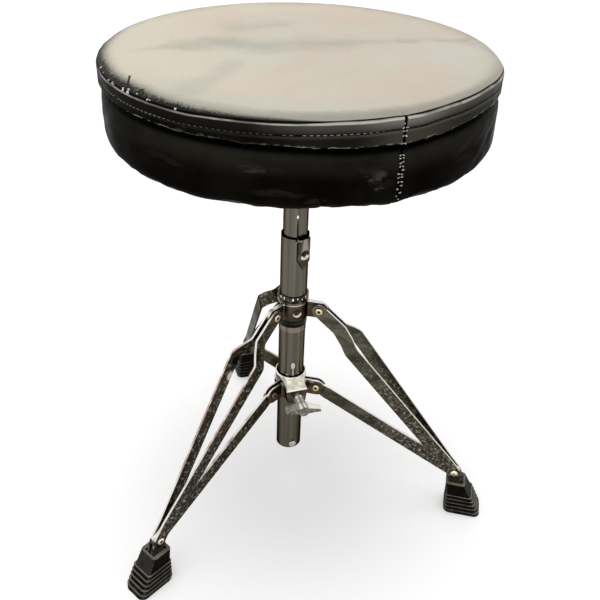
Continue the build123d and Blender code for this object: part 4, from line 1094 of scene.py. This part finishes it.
def topstitch(surface):
    """A row of short sunk stitches round the facing strip."""
    count = int(2 * pi * SEAT_R / (4.1 * MM))
    half = 1.25 * MM / SEAT_R
    rng = np.random.default_rng(5)
    for i in range(count):
        azimuth = 2 * pi * i / count
        if rng.random() < 0.05:
            continue
        tilt = rng.uniform(-0.12, 0.12) * MM
        height = STITCH_Z - dropped(EDGE_DROP, azimuth)
        path = [surface.at(azimuth + half * t, height + tilt * t, 0.22 * MM - 0.25 * MM * abs(t) ** 3)
                for t in (-1.0, -0.4, 0.4, 1.0)]
        yield path, 0.26 * MM


def seam_stitches(surface):
    """Loose hand-sized stitches that hold the cover's butt seam."""
    rng = np.random.default_rng(11)
    height = SEAM_Z - 5.0 * MM
    while height > BOTTOM_Z + 6 * MM:
        if rng.random() > 0.06:
            for side in (-1, 1):
                if rng.random() < 0.22:
                    continue
                near = side * rng.uniform(0.2, 0.7) * MM / SEAT_R
                far = side * rng.uniform(1.4, 2.3) * MM / SEAT_R
                slope = rng.uniform(-0.9, 0.9) * MM
                rise = rng.uniform(0.2, 0.7) * MM
                path = [surface.at(BUTT_AZIMUTH + near + (far - near) * t, height + slope * t,
                                   0.15 * MM + rise * sin(pi * t)) for t in (0.0, 0.3, 0.65, 1.0)]
                yield path, rng.uniform(0.32, 0.50) * MM
        height -= rng.uniform(1.9, 3.0) * MM


def loose_threads(surface):
    """Frayed ends that hang along the lower edge of the facing strip."""
    rng = np.random.default_rng(23)
    for _ in range(46):
        start = radians(rng.choice([rng.uniform(-166, -100), rng.uniform(-100, -50), rng.uniform(30, 170)],
                                   p=[0.6, 0.25, 0.15]))
        length = rng.uniform(3, 13) * MM
        height = STRIP_LOW_Z - dropped(HEM_DROP, start) + rng.uniform(-0.9, 0.5) * MM
        sag = rng.uniform(-0.7, 1.1) * MM
        path = [surface.at(start + length / SEAT_R * t, height - sag * sin(pi * t) * (1 if t < 0.8 else 0.4),
                           rng.uniform(0.15, 0.6) * MM) for t in np.linspace(0, 1, 7)]
        yield path, rng.uniform(0.10, 0.19) * MM, 5


def wadding():
    """Tufts of white wadding that show where the seam has split, as lumpy little fibres."""
    rng = np.random.default_rng(41)
    for azimuth, spread, count in TUFTS:
        for _ in range(count):
            a = radians(azimuth + rng.uniform(-spread, spread))
            r = SEAT_R + rng.uniform(-1.2, 0.5) * MM
            z = SEAM_Z - dropped(EDGE_DROP, a) + rng.uniform(-0.6, 0.9) * MM
            start = np.array([r * cos(a), r * sin(a), z])
            heading = rng.normal(0, 1, 3)
            heading /= np.linalg.norm(heading)
            curl = np.cross(heading, rng.normal(0, 1, 3))
            length = rng.uniform(0.6, 1.5) * MM
            path = [start + heading * length * t + curl * 0.6 * MM * sin(pi * t)
                    for t in np.linspace(0, 1, 5)]
            yield path, rng.uniform(0.40, 0.75) * MM, 5


# ---------------------------------------------------------------- dress the frame
def dress_all():
    """Give every CAD piece its material, by the patterns of their names."""
    rear_bracket = pressed_chrome("bracket_rear_worn", BRACKET_TOP_Z)
    rear_collar = pressed_chrome("collar_rear_worn", COLLAR_RIM_Z)
    foot_rivet = rivet("rivet_foot", FOOT_PIVOT, (0.80, 0.70, 0.48), (0.97, 0.94, 0.84),
                       dome=(0.95, 0.88, 0.70))
    for material, *patterns in (
            (tube_chrome(), "outer_tube"),
            (post_chrome(), "seat_post", "seat_socket"),
            (fluted_chrome(), "locking_ring"),
            (leg_chrome(), "leg_*_strip_?", "brace_*"),
            (rear_bracket.finish(), "bracket_rear_*"),
            (rear_collar.finish(), "collar_rear_*"),
            (bracket_front(), "bracket_front"),
            (collar_front(), "collar_front"),
            (sleeve_chrome(), "collar_sleeve"),
            (wing_cast(), "wing_bolt"),
            (rivet("rivet_leg", LEG_PIVOT, BRASS, LIT_BRASS), "leg_*_pivot_rivet"),
            (rivet("rivet_collar", COLLAR_PIVOT, BRASS, LIT_BRASS, dome=(0.17, 0.13, 0.10), dome_side=-1.0),
             "collar_rivets"),
            (foot_rivet, "leg_*_foot_rivet"),
            (nut_steel(), "clamp_nut"),
            (plain_steel(), "collar_nut", "tube_stop_*", "plate_screws", "hem_staples",
             "seat_retaining_screw"),
            (black_paint(), "seat_plate"),
            (black_nylon(), "nylon_ring", "post_*_plug"),
            (foot_rubber(), "foot_*"),
            (seat_wood(), "seat_board")):
        for name in [name for pattern in patterns for name in fnmatch.filter(nodes, pattern)]:
            materials = nodes[name].data.materials
            materials.clear()
            materials.append(material)


def dress_seat():
    """Add the seat's cover, its threads and the wadding."""
    surface = Surface(make_cover(top_vinyl(), strip_vinyl(), side_vinyl()))
    grey = thread("thread_grey", (0.42, 0.38, 0.34), 0.95)
    stitch = thread("thread_stitch", (0.40, 0.36, 0.33), 0.85, black_right=True)
    white = thread("thread_white", (0.80, 0.78, 0.71), 0.2)
    wool = thread("wadding_white", (0.92, 0.90, 0.84), 0.0)
    for name, threads, look in (
            ("seat_topstitch", topstitch(surface), stitch),
            ("seat_seam_stitches", seam_stitches(surface), white),
            ("seat_loose_threads", loose_threads(surface), grey),
            ("seat_wadding", wadding(), wool)):
        made = add_mesh(name, *thread_mesh(threads), look)


# ---------------------------------------------------------------- stage
CAMERA_SPOT = Vector((-0.18170, -0.54550, 0.61588))
CAMERA_AZIMUTH = radians(-109.07)
CAMERA_PITCH = radians(33.78)
CAMERA_ROLL = radians(2.33)
CAMERA_LENS = 44.31
SENSOR = 36.0
WORLD_LIGHT = 0.50
FLOOR_GLOW = 0.36
KEY_SPOT, KEY_AIM, KEY_SIZE, KEY_WATTS = (-0.9, -1.0, 1.9), (0.0, 0.0, 0.25), 1.4, 5.0
OVERHEAD_TOWARD, OVERHEAD_STRENGTH, OVERHEAD_SPREAD = (0.0, -0.02, -0.43), 1.25, radians(32.0)
FLOOR_SIZE = 16


def add_camera():
    """A camera above the seat, looking down at the column, with the picture turned a little."""
    ahead = Vector((-cos(CAMERA_AZIMUTH) * cos(CAMERA_PITCH), -sin(CAMERA_AZIMUTH) * cos(CAMERA_PITCH),
                    -sin(CAMERA_PITCH)))
    right = ahead.cross(Vector((0, 0, 1))).normalized()
    up = right.cross(ahead)
    turned_right = right * cos(CAMERA_ROLL) + up * sin(CAMERA_ROLL)
    turned_up = up * cos(CAMERA_ROLL) - right * sin(CAMERA_ROLL)
    data = bpy.data.cameras.new("camera")
    data.lens = CAMERA_LENS
    data.sensor_width = SENSOR
    camera = linked_object("camera", data)
    axes = Matrix((turned_right, turned_up, -ahead)).transposed()
    camera.matrix_world = Matrix.Translation(CAMERA_SPOT) @ axes.to_4x4()
    bpy.context.scene.camera = camera


def shown_rays(tree):
    """1 for rays from the camera, off gloss or through glass, which see the plain pale stage."""
    seen, glossy, through = (tree.node("ShaderNodeLightPath", f"Is {kind} Ray")
                             for kind in ("Camera", "Glossy", "Transmission"))
    return seen.larger(glossy).larger(through)


def add_world():
    """A white surrounding that lights the throne more softly than it looks."""
    world = bpy.data.worlds.new("studio")
    bpy.context.scene.world = world
    world.use_nodes = True
    tree = Tree(world.node_tree)
    background = tree.tree.nodes["Background"]
    background.inputs["Color"].default_value = (1.0, 1.0, 1.0, 1.0)
    tree.join(background.inputs["Strength"], shown_rays(tree).ramp(0.0, 1.0, WORLD_LIGHT, 1.0))


def add_floor():
    """A wide pale floor that keeps the throne's soft shadow and fades into the background."""
    bpy.ops.mesh.primitive_grid_add(x_subdivisions=8, y_subdivisions=8, size=FLOOR_SIZE, location=(0, 0, 0))
    floor = bpy.context.object
    floor.name = "floor"
    g = Graph("floor_pale")
    g.tone = (0.80, 0.80, 0.80)
    floor.data.materials.append(g.finish(
        Roughness=0.9, Specular_IOR_Level=0.0, Emission_Color=(1.0, 1.0, 1.0),
        Emission_Strength=shown_rays(g) * FLOOR_GLOW))


def add_lamp(name, kind, toward, energy, spot=(0.0, 0.0, 0.0), **settings):
    """A light of one kind that shines in one direction."""
    data = bpy.data.lights.new(name, kind)
    data.energy = energy
    for key, value in settings.items():
        setattr(data, key, value)
    lamp = linked_object(name, data)
    lamp.location = spot
    lamp.rotation_euler = Vector(toward).to_track_quat("-Z", "Y").to_euler()


def add_stage():
    """The camera, the pale room, a soft key light, and a broad light from high behind the seat."""
    add_camera()
    add_world()
    add_floor()
    add_lamp("key", "AREA", Vector(KEY_AIM) - Vector(KEY_SPOT), KEY_WATTS, KEY_SPOT,
             shape="RECTANGLE", size=KEY_SIZE, size_y=KEY_SIZE)
    add_lamp("overhead", "SUN", OVERHEAD_TOWARD, OVERHEAD_STRENGTH, angle=OVERHEAD_SPREAD)
    bpy.context.scene.view_settings.view_transform = "Standard"


dress_all()
dress_seat()
add_stage()
